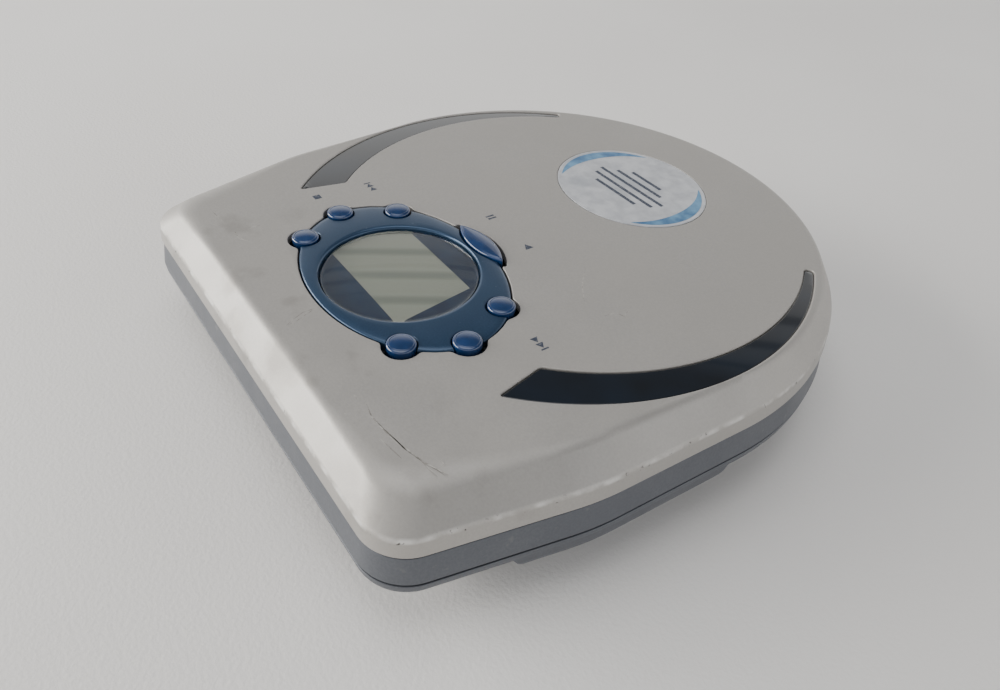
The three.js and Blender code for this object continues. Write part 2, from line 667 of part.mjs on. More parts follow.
// Cross-section of the bulge in the Y-Z plane, with sloping ends.
function bulgeEnds(wall) {
  const slope = 5;
  return [
    new THREE.Vector2(BULGE_FRONT_Y - slope + wall, SEAM_Z + 3), new THREE.Vector2(BULGE_FRONT_Y - 1 + wall, BULGE_SIDE_Z + 1),
    new THREE.Vector2(BULGE_FRONT_Y + 1 + wall, BULGE_SIDE_Z - 0.6), new THREE.Vector2(BULGE_FRONT_Y + 5 + wall * 0.6, BELLY_Z + wall - 0.2),
    new THREE.Vector2(BULGE_REAR_Y - 5 - wall * 0.6, BELLY_Z + wall - 0.2), new THREE.Vector2(BULGE_REAR_Y - 1 - wall, BULGE_SIDE_Z - 0.6),
    new THREE.Vector2(BULGE_REAR_Y + 1 - wall, BULGE_SIDE_Z + 1), new THREE.Vector2(BULGE_REAR_Y + slope - wall, SEAM_Z + 3),
  ];
}

function coverSolid(wall) {
  const flare = BAND_FLARE - COVER_STEP;
  const top = SEAM_Z - SEAM_GAP;
  const extra = wall > 0 ? 1 : 0;
  const pan = loft([
    { points: outline(smallerPlan(CASE, BELLY_INSET, BELLY_CORNER), wall * 0.5), z: BELLY_Z + wall },
    { points: outline(CASE, 1.2 - flare + wall), z: STRIP_Z - 1.4 + wall * 0.3 },
    { points: outline(CASE, wall - flare + 0.2), z: STRIP_Z },
    { points: outline(CASE, wall - flare), z: top + extra },
  ]);
  const bulge = prismY(bulgeSection(wall), BULGE_FRONT_Y - 8, BULGE_REAR_Y + 8)
    .intersect(prismX(bulgeEnds(wall), -CASE.frontRadius - 14, 10))
    .intersect(prism(shapeOf(outline(CASE, wall - flare + 0.2)), 0, top + extra));
  return join(pan, bulge);
}

// The door runs from the inner end of the cells out to the slope of the bulge, and slides off that way.
function doorSlab(gap, x0) {
  const x1 = CELL_START_X + CELL_LENGTH - 4 + gap;
  const half = CELL_PITCH + 0.7 + gap;
  return box(x0, x1, CELL_MIDDLE_Y - half, CELL_MIDDLE_Y + half, BELLY_Z - gap * 8, BELLY_Z + DOOR_THICK + gap * 0.4);
}

function batteryDoor() {
  const x0 = -CASE.frontRadius + 1;
  const grips = [0, 1, 2, 3].map((i) => box(x0 + 12 + i * 2, x0 + 13 + i * 2, CELL_MIDDLE_Y - 8, CELL_MIDDLE_Y + 8,
    BELLY_Z - 1, BELLY_Z + 0.4));
  return cut(doorSlab(0, x0).intersect(coverSolid(0)), ...grips);
}

function bottomCover() {
  const shell = cut(coverSolid(0), coverSolid(COVER_WALL));
  const top = SEAM_Z - SEAM_GAP;
  const bosses = SCREW_SPOTS.map(([x, y]) => drum(3.2, BELLY_Z, top, x, y, 16));
  const dampers = DAMPER_SPOTS.map(([x, y]) => drum(2.6, BELLY_Z, top, x, y, 16));
  const bayX1 = CELL_START_X + CELL_LENGTH + 2.2;
  const bayY0 = CELL_MIDDLE_Y - CELL_PITCH - 0.9;
  const bayY1 = CELL_MIDDLE_Y + CELL_PITCH + 0.9;
  const ribs = [
    box(CELL_START_X, bayX1, bayY0 - 1.2, bayY0, BELLY_Z, 12),
    box(CELL_START_X, bayX1, bayY1, bayY1 + 1.2, BELLY_Z, 12),
    box(bayX1, bayX1 + 1.2, bayY0 - 1.2, bayY1 + 1.2, BELLY_Z, 12),
  ];
  const inside = coverSolid(0);
  const fittings = join(...bosses, ...dampers, ...ribs).intersect(inside);
  return cut(
    join(shell, fittings),
    doorSlab(0.25, -CASE.frontRadius - 24),
    ...SCREW_SPOTS.flatMap(([x, y]) => [drum(1.3, -1, 20, x, y, 12), drum(2.9, -1, 4.2, x, y, 16)]),
    ...DAMPER_SPOTS.map(([x, y]) => drum(0.9, 6, 20, x, y, 12)),
  );
}

function screw() {
  return turned([[0, 2.2], [2.4, 2.2], [2.6, 2.6], [2.6, 3.4], [1.05, 4], [1.05, WELL_FLOOR_Z - 2.4], [0, WELL_FLOOR_Z - 2]], 0, 0, 12);
}

function foot() {
  return turned([[0, 0], [FOOT_RADIUS - 0.5, 0], [FOOT_RADIUS, 0.5], [FOOT_RADIUS, BELLY_Z - 0.05], [0, BELLY_Z - 0.05]], 0, 0, 16);
}

function batteryCell(y) {
  const x0 = CELL_START_X;
  const x1 = CELL_START_X + CELL_LENGTH;
  return turnedX([
    [0, x0], [CELL_RADIUS - 0.6, x0], [CELL_RADIUS, x0 + 0.6], [CELL_RADIUS, x1 - 2.2],
    [CELL_RADIUS - 0.8, x1 - 1.2], [2.7, x1 - 1.2], [2.7, x1], [0, x1],
  ], y, CELL_AXIS_Z, 16);
}

function contactPlate(x0, x1) {
  const y = CELL_PITCH / 2 + 4.5;
  return box(x0, x1, CELL_MIDDLE_Y - y, CELL_MIDDLE_Y + y, CELL_AXIS_Z - 4.5, CELL_AXIS_Z + 4.5);
}

// ---------------------------------------------------------------- turntable and pickup

function turntableHub() {
  const platter = turned([
    [0, WELL_FLOOR_Z + 0.6], [HUB_RADIUS, WELL_FLOOR_Z + 0.6], [HUB_RADIUS, DISC_BOTTOM_Z - 0.4], [9.4, DISC_BOTTOM_Z - 0.4],
    [9.4, DISC_BOTTOM_Z], [DISC_HOLE_RADIUS - 0.15, DISC_BOTTOM_Z], [DISC_HOLE_RADIUS - 0.15, DISC_BOTTOM_Z + 1.4],
    [DISC_HOLE_RADIUS - 1.4, DISC_BOTTOM_Z + 2.4], [3.2, DISC_BOTTOM_Z + 2.4], [2.6, DISC_BOTTOM_Z + 1.8],
    [0, DISC_BOTTOM_Z + 1.8],
  ], 0, 0, 28);
  const shaft = drum(SPINDLE_RADIUS, CHASSIS_Z - 1.4, WELL_FLOOR_Z + 0.8, 0, 0, 16);
  const balls = [90, 210, 330].map((angle) => {
    const ball = new THREE.SphereGeometry(0.9, 8, 6);
    const reach = DISC_HOLE_RADIUS - 0.7;
    ball.translate(reach * Math.cos(radians(angle)), reach * Math.sin(radians(angle)), DISC_BOTTOM_Z + 1.4);
    return toSolid(ball);
  });
  return join(platter, shaft, ...balls);
}

function turntableMat() {
  return tubeZ(HUB_RADIUS - 0.4, 9.6, DISC_BOTTOM_Z - 0.3, DISC_BOTTOM_Z, 0, 0, 28);
}

function spindleMotor() {
  const r = SPINDLE_MOTOR_RADIUS;
  const bore = SPINDLE_RADIUS + RUNNING;
  return turned([
    [0, CHASSIS_Z - 7], [r - 1, CHASSIS_Z - 7], [r, CHASSIS_Z - 6.2], [r, CHASSIS_Z - 0.1],
    [bore, CHASSIS_Z - 0.1], [bore, CHASSIS_Z - 1.6], [0, CHASSIS_Z - 1.6],
  ], 0, 0, 32);
}

function rodPost(x, y) {
  return box(x - 2.2, x + 2.2, y - 0.9, y + 0.9, SLED_BOTTOM_Z, CHASSIS_Z + 0.1);
}

function gearCentreX() {
  return RACK_X + (GEAR_MODULE * SMALL_TEETH) / 2;
}

function motorCentreX() {
  return gearCentreX() + (GEAR_MODULE * (LARGE_TEETH + PINION_TEETH)) / 2;
}

function mechChassis() {
  const top = CHASSIS_Z + CHASSIS_THICK;
  const front = ROD_FRONT_Y + 0.2;
  const corners = [[-25, front + 13.2], [-14, front], [14, front], [39, front + 15.2], [40, 10], [-24, 10]];
  const plate = prism(shapeOf(corners.map(([x, y]) => new THREE.Vector2(x, y))), CHASSIS_Z, top);
  const rodEnds = [-ROD_X, ROD_X].flatMap((x) => [[x, ROD_FRONT_Y + 0.7], [x, ROD_REAR_Y - 0.7]]);
  const pinTop = CHASSIS_Z + 0.1;
  const gearPin = drum(1, LARGE_GEAR_Z - 0.6, pinTop, gearCentreX(), GEAR_Y, 16);
  const window = box(-SLED_HALF_WIDTH + 5.2, SLED_HALF_WIDTH - 5.2, LENS_Y - SLED_TRAVEL - 4, LENS_Y + 6.5, 10, 20);
  const body = join(plate, gearPin, ...rodEnds.map(([x, y]) => rodPost(x, y)));
  return cut(
    body,
    window,
    drum(3.2, 10, 20, 0, 0, 20),
    ...[-ROD_X, ROD_X].map((x) => rodY(ROD_RADIUS + RUNNING, ROD_FRONT_Y - 0.5, ROD_REAR_Y + 0.5, x, ROD_Z)),
    ...DAMPER_SPOTS.map(([x, y]) => drum(2.3, 10, 20, x, y, 20)),
  );
}

function damper() {
  const low = CHASSIS_Z - 0.1;
  const high = CHASSIS_Z + CHASSIS_THICK + 0.1;
  return turned([
    [0.9, SEAM_Z - SEAM_GAP + 0.1], [3.4, SEAM_Z - SEAM_GAP + 0.1], [3.4, low], [2.1, low + 0.1], [2.1, high - 0.1],
    [3.2, high], [3.2, high + 0.7], [0.9, high + 0.7], [0.9, SEAM_Z - SEAM_GAP + 0.1],
  ], 0, 0, 14);
}

function rackPoints() {
  const pitch = Math.PI * GEAR_MODULE;
  const half = (pitch * TOOTH_SHARE) / 2;
  const addendum = 0.8 * GEAR_MODULE;
  const dedendum = 1.15 * GEAR_MODULE;
  const lean = Math.tan(radians(PRESSURE_ANGLE));
  const first = GEAR_Y - 0.5 * pitch;
  const count = Math.ceil(SLED_TRAVEL / pitch) + 2;
  const points = [new THREE.Vector2(RACK_X - 2.2, first - pitch), new THREE.Vector2(RACK_X - dedendum, first - pitch)];
  for (let i = 0; i < count; i += 1) {
    const y = first + i * pitch;
    points.push(
      new THREE.Vector2(RACK_X - dedendum, y - half - dedendum * lean),
      new THREE.Vector2(RACK_X + addendum, y - half + addendum * lean),
      new THREE.Vector2(RACK_X + addendum, y + half - addendum * lean),
      new THREE.Vector2(RACK_X - dedendum, y + half + dedendum * lean),
    );
  }
  const last = first + count * pitch;
  points.push(new THREE.Vector2(RACK_X - dedendum, last), new THREE.Vector2(RACK_X - 2.2, last));
  return points;
}

function pickupSled() {
  const front = LENS_Y - 1.5;
  const rear = LENS_Y + 10;
  const wide = box(-SLED_HALF_WIDTH, SLED_HALF_WIDTH, front, rear, SLED_BOTTOM_Z, SLED_TOP_Z);
  const narrow = box(-6.5, 6.5, LENS_Y - 3, rear, SLED_BOTTOM_Z, SLED_TOP_Z);
  const turret = box(-6.5, 6.5, LENS_Y - 3, LENS_Y + 4.6, SLED_TOP_Z - 0.1, WELL_FLOOR_Z - 0.2);
  const rack = prism(shapeOf(rackPoints()), RACK_Z, RACK_Z + RACK_THICK);
  const link = box(SLED_HALF_WIDTH - 0.5, RACK_X - 1.6, front + 1, rear - 1, RACK_Z, RACK_Z + RACK_THICK);
  const bore = ROD_RADIUS + RUNNING;
  return cut(
    join(wide, narrow, turret, rack, link),
    rodY(bore, front - 1, rear + 1, -ROD_X, ROD_Z),
    rodY(bore, front - 1, rear + 1, ROD_X, ROD_Z),
    drum(2.5, WELL_FLOOR_Z - 1.2, WELL_FLOOR_Z + 1, 0, LENS_Y, 16),
  );
}

function pickupLens() {
  const low = WELL_FLOOR_Z - 1.1;
  return turned([
    [0, low], [2.3, low], [2.3, low + 1.7], [1.9, low + 1.8], [1.5, low + 2.1], [0.8, low + 2.35], [0, low + 2.4],
  ], 0, LENS_Y, 20);
}

// Half of the angle that a tooth takes at a radius, from the involute of the base circle.
function toothHalfAngle(teeth, radius) {
  const pitchRadius = (GEAR_MODULE * teeth) / 2;
  const baseRadius = pitchRadius * Math.cos(radians(PRESSURE_ANGLE));
  const involute = (r) => {
    const angle = Math.acos(Math.min(1, baseRadius / r));
    return Math.tan(angle) - angle;
  };
  return (TOOTH_SHARE * Math.PI) / teeth + involute(pitchRadius) - involute(Math.max(radius, baseRadius));
}

function gearShape(teeth, turn) {
  const pitchRadius = (GEAR_MODULE * teeth) / 2;
  const root = pitchRadius - 1.15 * GEAR_MODULE;
  const tip = pitchRadius + 0.8 * GEAR_MODULE;
  const radii = [root, pitchRadius, tip];
  const points = [];
  for (let i = 0; i < teeth; i += 1) {
    const middle = (i * 2 * Math.PI) / teeth + turn;
    const rising = radii.map((r) => [r, middle - toothHalfAngle(teeth, r)]);
    const falling = radii.map((r) => [r, middle + toothHalfAngle(teeth, r)]).reverse();
    for (const [r, a] of [...rising, ...falling]) points.push(new THREE.Vector2(r * Math.cos(a), r * Math.sin(a)));
  }
  return shapeOf(points);
}

function feedGear() {
  const webTop = RACK_Z + RACK_THICK + 0.1;
  const large = prism(gearShape(LARGE_TEETH, 0), LARGE_GEAR_Z, LARGE_GEAR_Z + LARGE_GEAR_THICK);
  const neck = drum(2.4, LARGE_GEAR_Z, RACK_Z, 0, 0, 20);
  const small = prism(gearShape(SMALL_TEETH, 0), RACK_Z - 0.2, webTop);
  return cut(join(large, neck, small), drum(1 + RUNNING, 0, 30, 0, 0, 16));
}

function motorPinion() {
  const toothed = prism(gearShape(PINION_TEETH, Math.PI / PINION_TEETH), LARGE_GEAR_Z - 0.2,
    LARGE_GEAR_Z + LARGE_GEAR_THICK + 0.2);
  return join(toothed, drum(0.6, LARGE_GEAR_Z + 1, CHASSIS_Z - 1.2, 0, 0, 12));
}

function sledMotor() {
  const bore = 0.6 + RUNNING;
  return turned([
    [bore, CHASSIS_Z - 3.2], [6.4, CHASSIS_Z - 3.2], [6.4, CHASSIS_Z - 0.1], [0, CHASSIS_Z - 0.1], [0, CHASSIS_Z - 1],
    [bore, CHASSIS_Z - 1], [bore, CHASSIS_Z - 3.2],
  ], motorCentreX(), GEAR_Y, 24);
}

// ---------------------------------------------------------------- side fittings

function sideX(y, inset = 0) {
  const points = outline(CASE, inset);
  for (let i = 0; i + 1 < points.length / 2; i += 1) {
    const a = points[i];
    const b = points[i + 1];
    if (a.y <= y && b.y > y) return a.x + ((b.x - a.x) * (y - a.y)) / (b.y - a.y);
  }
  return points[0].x;
}

function jack(y, boreRadius, hasPin) {
  const face = sideX(y, BAND_INSET) - 0.3;
  const back = face - 11;
  const body = box(back, face - CASE_WALL - 1, y - 3, y + 3, JACK_Z - 2.7, JACK_Z + 2);
  const collar = rodX(JACK_COLLAR, face - CASE_WALL - 1.5, face, y, JACK_Z, 20);
  const hollow = cut(join(body, collar), rodX(boreRadius, back + 2, face + 1, y, JACK_Z, 20));
  return hasPin ? join(hollow, rodX(0.5, back + 1, face - 1, y, JACK_Z, 10)) : hollow;
}

function volumeWheel() {
  const points = [];
  const ridges = 30;
  for (let i = 0; i < ridges * 2; i += 1) {
    const angle = (i * Math.PI) / ridges;
    const r = i % 2 ? WHEEL_RADIUS - 0.35 : WHEEL_RADIUS;
    points.push(new THREE.Vector2(r * Math.cos(angle), r * Math.sin(angle)));
  }
  const rim = prism(shapeOf(points), WHEEL_Z, WHEEL_Z + WHEEL_THICK);
  return join(rim, drum(2, WHEEL_Z - 0.5, WHEEL_Z + WHEEL_THICK, 0, 0, 16));
}

function holdSwitch() {
  const face = sideX(HOLD_Y, 0);
  const knob = box(face - 3.4, face + 0.3, HOLD_Y - 2.4, HOLD_Y + 2.4, HOLD_Z, HOLD_Z + HOLD_HEIGHT);
  const plate = box(face - 4.4, face - 3.2, HOLD_Y - 4, HOLD_Y + 4, HOLD_Z - 0.7, HOLD_Z + HOLD_HEIGHT + 0.1);
  const grooves = [-1, 0, 1].map((i) => box(face, face + 1, HOLD_Y + i * 1.4 - 0.25, HOLD_Y + i * 1.4 + 0.25,
    HOLD_Z - 1, HOLD_Z + HOLD_HEIGHT + 1));
  return cut(join(knob, plate), ...grooves);
}

function openButton() {
  const half = OPEN_HALF_WIDTH;
  const top = OPEN_Z + OPEN_HEIGHT;
  const cap = box(-half, half, -CASE.frontRadius - 4, 3 - CASE.frontRadius, OPEN_Z, top)
    .intersect(drum(CASE.frontRadius + BAND_FLARE - 0.05, OPEN_Z, top, 0, 0, 90));
  const relief = box(-HOOK_HALF_WIDTH - 0.4, HOOK_HALF_WIDTH + 0.4, HOOK_Y - OPEN_TRAVEL - FIT, HOOK_Y + 4, 0, top + 1);
  return cut(cap, relief);
}

function mainBoard() {
  const plate = prism(shapeOf(outline(CASE, 4.5)), BOARD_Z, BOARD_Z + BOARD_THICK);
  const kept = plate.intersect(box(0.5, CASE.frontRadius, BOARD_FRONT_Y, CASE.rearY, 0, 40));
  return cut(kept, drum(4, 0, 40, ...SCREW_SPOTS[0], 16));
}

// ---------------------------------------------------------------- the player

const player = new THREE.Group();
player.position.set(0, (CASE.frontRadius - CASE.rearY) / 2, 0);

function add(name, solid, look, x = 0, y = 0) {
  const mesh = new THREE.Mesh(toGeometry(solid), new THREE.MeshStandardMaterial(look));
  mesh.name = name;
  mesh.position.set(x, y, 0);
  player.add(mesh);
}

add('lid_shell', lidShell(), finish.silverPaint);
add('lid_liner', lidLiner(), finish.blackPlastic);
add('control_bezel', controlBezel(), finish.bluePaint);
add('lcd_window', lcdWindow(), finish.clear);
add('lcd_mask', displayMask(), finish.bluePaint);
add('lcd_panel', displayPanel(), finish.display);
add('display_board', displayBoard(), finish.board);
add('crescent_right', prism(inlayShape(1), LID_TOP_Z - INLAY_DEPTH + 0.05, LID_TOP_Z - 0.3), finish.smokedBlue);
add('crescent_left', prism(inlayShape(-1), LID_TOP_Z - INLAY_DEPTH + 0.05, LID_TOP_Z - 0.3), finish.smokedBlue);
add('lid_badge', prism(badgeShape(0), LID_TOP_Z - BADGE_THICK + 0.02, LID_TOP_Z), finish.foil);
add('latch_hook', latchHook(), finish.blackPlastic);
for (const [side, name] of [[-1, 'left'], [1, 'right']]) {
  const reach = ARM_WIDTH / 2 + FIT + CHEEK_WIDTH;
  add(`hinge_pin_${name}`, rodX(PIN_RADIUS, side * HINGE_X - reach, side * HINGE_X + reach, HINGE_Y, HINGE_Z), finish.steel);
}
for (const [name, [x, y]] of Object.entries(ROUND_BUTTONS)) add(name, roundButton(x, y), finish.blueGloss);
add('button_play', playButton(), finish.blueGloss);

add('mid_case', middleCase(), finish.greyPaint);
add('well_tray', wellTray(), finish.blackPlastic);
add('bottom_cover', bottomCover(), finish.greyPaint);
add('battery_door', batteryDoor(), finish.greyPaint);
FOOT_SPOTS.forEach(([x, y], i) => add(`foot_${i + 1}`, foot(), finish.rubber, x, y));
SCREW_SPOTS.forEach(([x, y], i) => add(`screw_${i + 1}`, screw(), finish.steel, x, y));
add('aa_cell_1', batteryCell(CELL_MIDDLE_Y - CELL_PITCH / 2), finish.cellSleeve);
add('aa_cell_2', batteryCell(CELL_MIDDLE_Y + CELL_PITCH / 2), finish.cellSleeve);
add('battery_contact_outer', contactPlate(CELL_START_X - 0.9, CELL_START_X - 0.3), finish.steel);
add('battery_contact_inner', contactPlate(CELL_START_X + CELL_LENGTH + 0.3, CELL_START_X + CELL_LENGTH + 0.9), finish.steel);

add('main_board', mainBoard(), finish.board);
add('signal_chip', box(14, 26, BOARD_FRONT_Y + 7, BOARD_FRONT_Y + 19, BOARD_Z + BOARD_THICK + 0.1, BOARD_Z + 3), finish.blackPlastic);
add('mech_chassis', mechChassis(), finish.steel);
DAMPER_SPOTS.forEach(([x, y], i) => add(`damper_${i + 1}`, damper(), finish.rubber, x, y));
add('spindle_motor', spindleMotor(), finish.steel);
add('turntable_hub', turntableHub(), finish.whitePlastic);
add('turntable_mat', turntableMat(), finish.rubber);
add('guide_rod_left', rodY(ROD_RADIUS, ROD_FRONT_Y, ROD_REAR_Y, -ROD_X, ROD_Z), finish.steel);
add('guide_rod_right', rodY(ROD_RADIUS, ROD_FRONT_Y, ROD_REAR_Y, ROD_X, ROD_Z), finish.steel);
add('pickup_sled', pickupSled(), finish.blackPlastic);
add('pickup_lens', pickupLens(), finish.clear);
add('feed_gear', feedGear(), finish.whitePlastic, gearCentreX(), GEAR_Y);
add('motor_pinion', motorPinion(), finish.whitePlastic, motorCentreX(), GEAR_Y);
add('sled_motor', sledMotor(), finish.steel);

add('headphone_jack', jack(HEADPHONE_Y, 1.8, false), finish.blackPlastic);
add('line_out_jack', jack(LINE_OUT_Y, 1.8, false), finish.blackPlastic);
add('dc_in_jack', jack(DC_IN_Y, 1.9, true), finish.blackPlastic);
add('volume_wheel', volumeWheel(), finish.blackPlastic, sideX(WHEEL_Y) + 1.1 - WHEEL_RADIUS, WHEEL_Y);
add('hold_switch', holdSwitch(), finish.blackPlastic);
add('open_button', openButton(), finish.blackPlastic);

const group = new THREE.Group();
group.add(player);
export default group;
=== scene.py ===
import json
import math

import bmesh
import bpy
import numpy as np
from mathutils import Matrix, Vector
from mathutils.geometry import tessellate_polygon

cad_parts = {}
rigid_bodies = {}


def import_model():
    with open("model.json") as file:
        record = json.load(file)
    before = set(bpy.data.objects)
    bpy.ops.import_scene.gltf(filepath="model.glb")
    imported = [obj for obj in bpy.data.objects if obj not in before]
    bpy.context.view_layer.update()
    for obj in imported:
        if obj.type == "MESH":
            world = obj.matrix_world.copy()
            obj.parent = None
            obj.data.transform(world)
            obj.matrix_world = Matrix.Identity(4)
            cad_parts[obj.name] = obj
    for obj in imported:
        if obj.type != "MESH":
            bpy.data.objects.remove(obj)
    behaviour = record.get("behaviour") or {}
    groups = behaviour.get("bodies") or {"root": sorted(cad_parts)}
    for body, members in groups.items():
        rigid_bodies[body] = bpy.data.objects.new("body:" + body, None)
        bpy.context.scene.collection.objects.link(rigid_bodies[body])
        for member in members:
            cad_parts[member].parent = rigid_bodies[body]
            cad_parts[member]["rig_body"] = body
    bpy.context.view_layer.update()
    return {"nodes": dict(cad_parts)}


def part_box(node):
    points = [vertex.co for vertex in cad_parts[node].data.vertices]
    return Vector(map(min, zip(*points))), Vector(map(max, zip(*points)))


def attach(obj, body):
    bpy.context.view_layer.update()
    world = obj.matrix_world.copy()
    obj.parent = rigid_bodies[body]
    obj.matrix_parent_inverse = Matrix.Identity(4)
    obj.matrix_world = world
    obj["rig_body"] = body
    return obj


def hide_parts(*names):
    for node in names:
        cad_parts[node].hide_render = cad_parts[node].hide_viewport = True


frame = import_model()

bl_info = {
    "name": "Portable Disc Player",
    "version": (1, 0, 0),
    "blender": (4, 5, 0),
    "location": "View3D > Sidebar > Disc Player",
    "description": "Builds the painted lid, control ring, case and fittings of a portable disc player",
    "category": "Add Mesh",
}

# ------------------------------------------------------------------ places taken from the frame

MM = 0.001


def node_box(node):
    """Lowest and highest corner of a CAD node in millimetres."""
    low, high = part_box(node)
    return low / MM, high / MM


HUB_LOW, HUB_HIGH = node_box("turntable_hub")
DISC_Y = (HUB_LOW.y + HUB_HIGH.y) / 2  # the disc axis; plan positions below are from it
LID_LOW, LID_HIGH = node_box("lid_shell")
BAND_LOW, BAND_HIGH = node_box("mid_case")
COVER_LOW, COVER_HIGH = node_box("bottom_cover")
FRONT_RADIUS = DISC_Y - LID_LOW.y
REAR_Y = LID_HIGH.y - DISC_Y

# Plan of the case: a round front, nearly straight sides, a taper and a straight rear.
CASE = {
    "radius": FRONT_RADIUS, "centre": 0.0, "tilt": 2.9, "bend_y": 38.0, "bend_radius": 60.0,
    "taper": 12.6, "rear": REAR_Y, "corner": 9.5,
}
TOP_FACE = {
    "radius": FRONT_RADIUS - 5.2, "centre": -2.2, "tilt": 4.6, "bend_y": 38.0, "bend_radius": 60.0,
    "taper": 15.5, "rear": REAR_Y - 5.0, "corner": 9.0,
}
BELLY = dict(CASE, radius=FRONT_RADIUS - 14.0, rear=REAR_Y - 14.0, corner=8.0)
SHOULDER_Z = LID_HIGH.z - 5.2
LID_EDGE_Z = LID_LOW.z
LID_WALL = 1.8
RIM_DRAFT = 0.4  # the rim leans in by this much towards its top
RING_CENTRE = (0.0, 39.3)
RING_RADII = (27.9, 20.1)
WINDOW_CENTRE = (0.0, 40.0)
WINDOW_RADIUS = 16.8
GLASS_RADIUS = 16.6  # of the display, inside the window
KEY_RADIUS = 2.9
KEY_GAP = 0.3  # round a key, in the ring
THROUGH = (20, 40)  # heights that a cutter through the top of the lid spans
PLAY_KEY = (8.4, 2.6)  # half length and half width
ROUND_BUTTONS = ("repeat", "stop", "next", "mode", "program", "previous")


def centre_of(node):
    """Middle of a CAD node in plan, from the disc axis."""
    low, high = node_box(node)
    return (low.x + high.x) / 2, (low.y + high.y) / 2 - DISC_Y


# ------------------------------------------------------------------ settings


def linear(code):
    """An sRGB hex colour as linear values."""
    parts = [int(code[i:i + 2], 16) / 255 for i in (1, 3, 5)]
    return tuple(c / 12.92 if c <= 0.04045 else ((c + 0.055) / 1.055) ** 2.4 for c in parts)


class PlayerSizes(bpy.types.PropertyGroup):
    """Sizes that a user may change, in millimetres."""

    rim_rounding: bpy.props.FloatProperty(
        name="Rim rounding", description="How far the rim's upper edge is rounded", default=0.8)
    crease_rounding: bpy.props.FloatProperty(
        name="Crease rounding", default=1.3,
        description="How far the crease round the flat top is rounded")
    corner_fade: bpy.props.FloatProperty(
        name="Corner fade", default=3.4, description="Extra rounding of the crease at the rear corners")
    cut_fillet: bpy.props.FloatProperty(
        name="Cut fillet", description="Rounded edge of the cut-outs in the lid", default=0.22)
    dome: bpy.props.FloatProperty(
        name="Button dome", default=0.14,
        description="Rise of a button's top from its rim line to its middle")
    ring_roll: bpy.props.FloatProperty(
        name="Ring roll", description="Fall of the control ring towards its outer edge", default=0.35)
    wheel_ridges: bpy.props.IntProperty(
        name="Wheel ridges", description="Ridges round the volume wheel", default=40, min=8, max=90)


class PlayerColours(bpy.types.PropertyGroup):
    """Main colours of the finishes."""

    silver: bpy.props.FloatVectorProperty(
        name="Silver paint", description="Lid paint", subtype="COLOR", default=linear("#ADAAA6"))
    gunmetal: bpy.props.FloatVectorProperty(
        name="Gunmetal paint", description="Case band and bottom", subtype="COLOR",
        default=linear("#63666C"))
    ring_blue: bpy.props.FloatVectorProperty(
        name="Ring blue", description="Metallic paint of the control ring", subtype="COLOR",
        default=linear("#29435F"))
    button_blue: bpy.props.FloatVectorProperty(
        name="Button blue", description="Glossy buttons", subtype="COLOR", default=linear("#112F58"))


# ------------------------------------------------------------------ materials


def add(tree, kind, sockets=None, **settings):
    """Adds a shader or geometry node with its settings, and sets or links its inputs."""
    made = tree.nodes.new(kind)
    for key, value in settings.items():
        setattr(made, key, value)
    for key, value in (sockets or {}).items():
        if isinstance(value, bpy.types.NodeSocket):
            tree.links.new(value, made.inputs[key])
        else:
            made.inputs[key].default_value = value
    return made


def rgba(colour):
    """Linear values with full alpha, from an sRGB hex code or three linear values."""
    return (*(linear(colour) if isinstance(colour, str) else colour), 1.0)


def scaled(colour, *factors):
    """A linear colour made lighter or darker, by one factor or one for each part."""
    factors = factors * 3 if len(factors) == 1 else factors
    return [min(1, c * f) for c, f in zip(colour, factors)]


def every(size):
    """Pattern scale, in Object coordinates, of a feature that is this many millimetres."""
    return 1.0 / (size * MM)


def new_finish(name, **sockets):
    """Starts a material: one shader, its output, and the Object coordinates that patterns use."""
    material = bpy.data.materials.new(name)
    material.use_nodes = True
    tree = material.node_tree
    tree.nodes.clear()
    shader = add(tree, "ShaderNodeBsdfPrincipled", {k.replace("_", " "): v for k, v in sockets.items()})
    shader.name = "shader"
    add(tree, "ShaderNodeOutputMaterial", {"Surface": shader.outputs["BSDF"]})
    return material, tree, add(tree, "ShaderNodeTexCoord").outputs["Object"]


def noise_at(tree, place, size, detail=3.0, low=0.35, high=0.65, to_low=0.0, to_high=1.0):
    """Soft patches of one size, spread to run between two values."""
    patches = add(tree, "ShaderNodeTexNoise", {"Vector": place, "Scale": every(size), "Detail": detail})
    spread = add(tree, "ShaderNodeMapRange", {
        "Value": patches.outputs["Fac"], "From Min": low, "From Max": high,
        "To Min": to_low, "To Max": to_high})
    return spread.outputs["Result"]


def band_between(tree, value, start, full, fade, end):
    """A mask that rises from start to full and falls from fade to end."""
    rise, fall = (add(tree, "ShaderNodeMapRange", {
        "Value": value, "From Min": first, "From Max": last, "To Min": low, "To Max": 1.0 - low})
        for first, last, low in ((start, full, 0.0), (fade, end, 1.0)))
    both = add(tree, "ShaderNodeMath", {0: rise.outputs[0], 1: fall.outputs[0]}, operation="MULTIPLY")
    return both.outputs[0]


def layered(tree, base, *layers):
    """A colour with others over it; each layer is a mask, the mask's strength and a colour."""
    tone = base if isinstance(base, bpy.types.NodeSocket) else rgba(base)
    for mask, strength, colour in layers:
        if strength != 1:
            mask = add(tree, "ShaderNodeMath", {0: mask, 1: strength}, operation="MULTIPLY").outputs[0]
        tone = add(tree, "ShaderNodeMix", {0: mask, 6: tone, 7: rgba(colour)}, data_type="RGBA").outputs[2]
    return tone


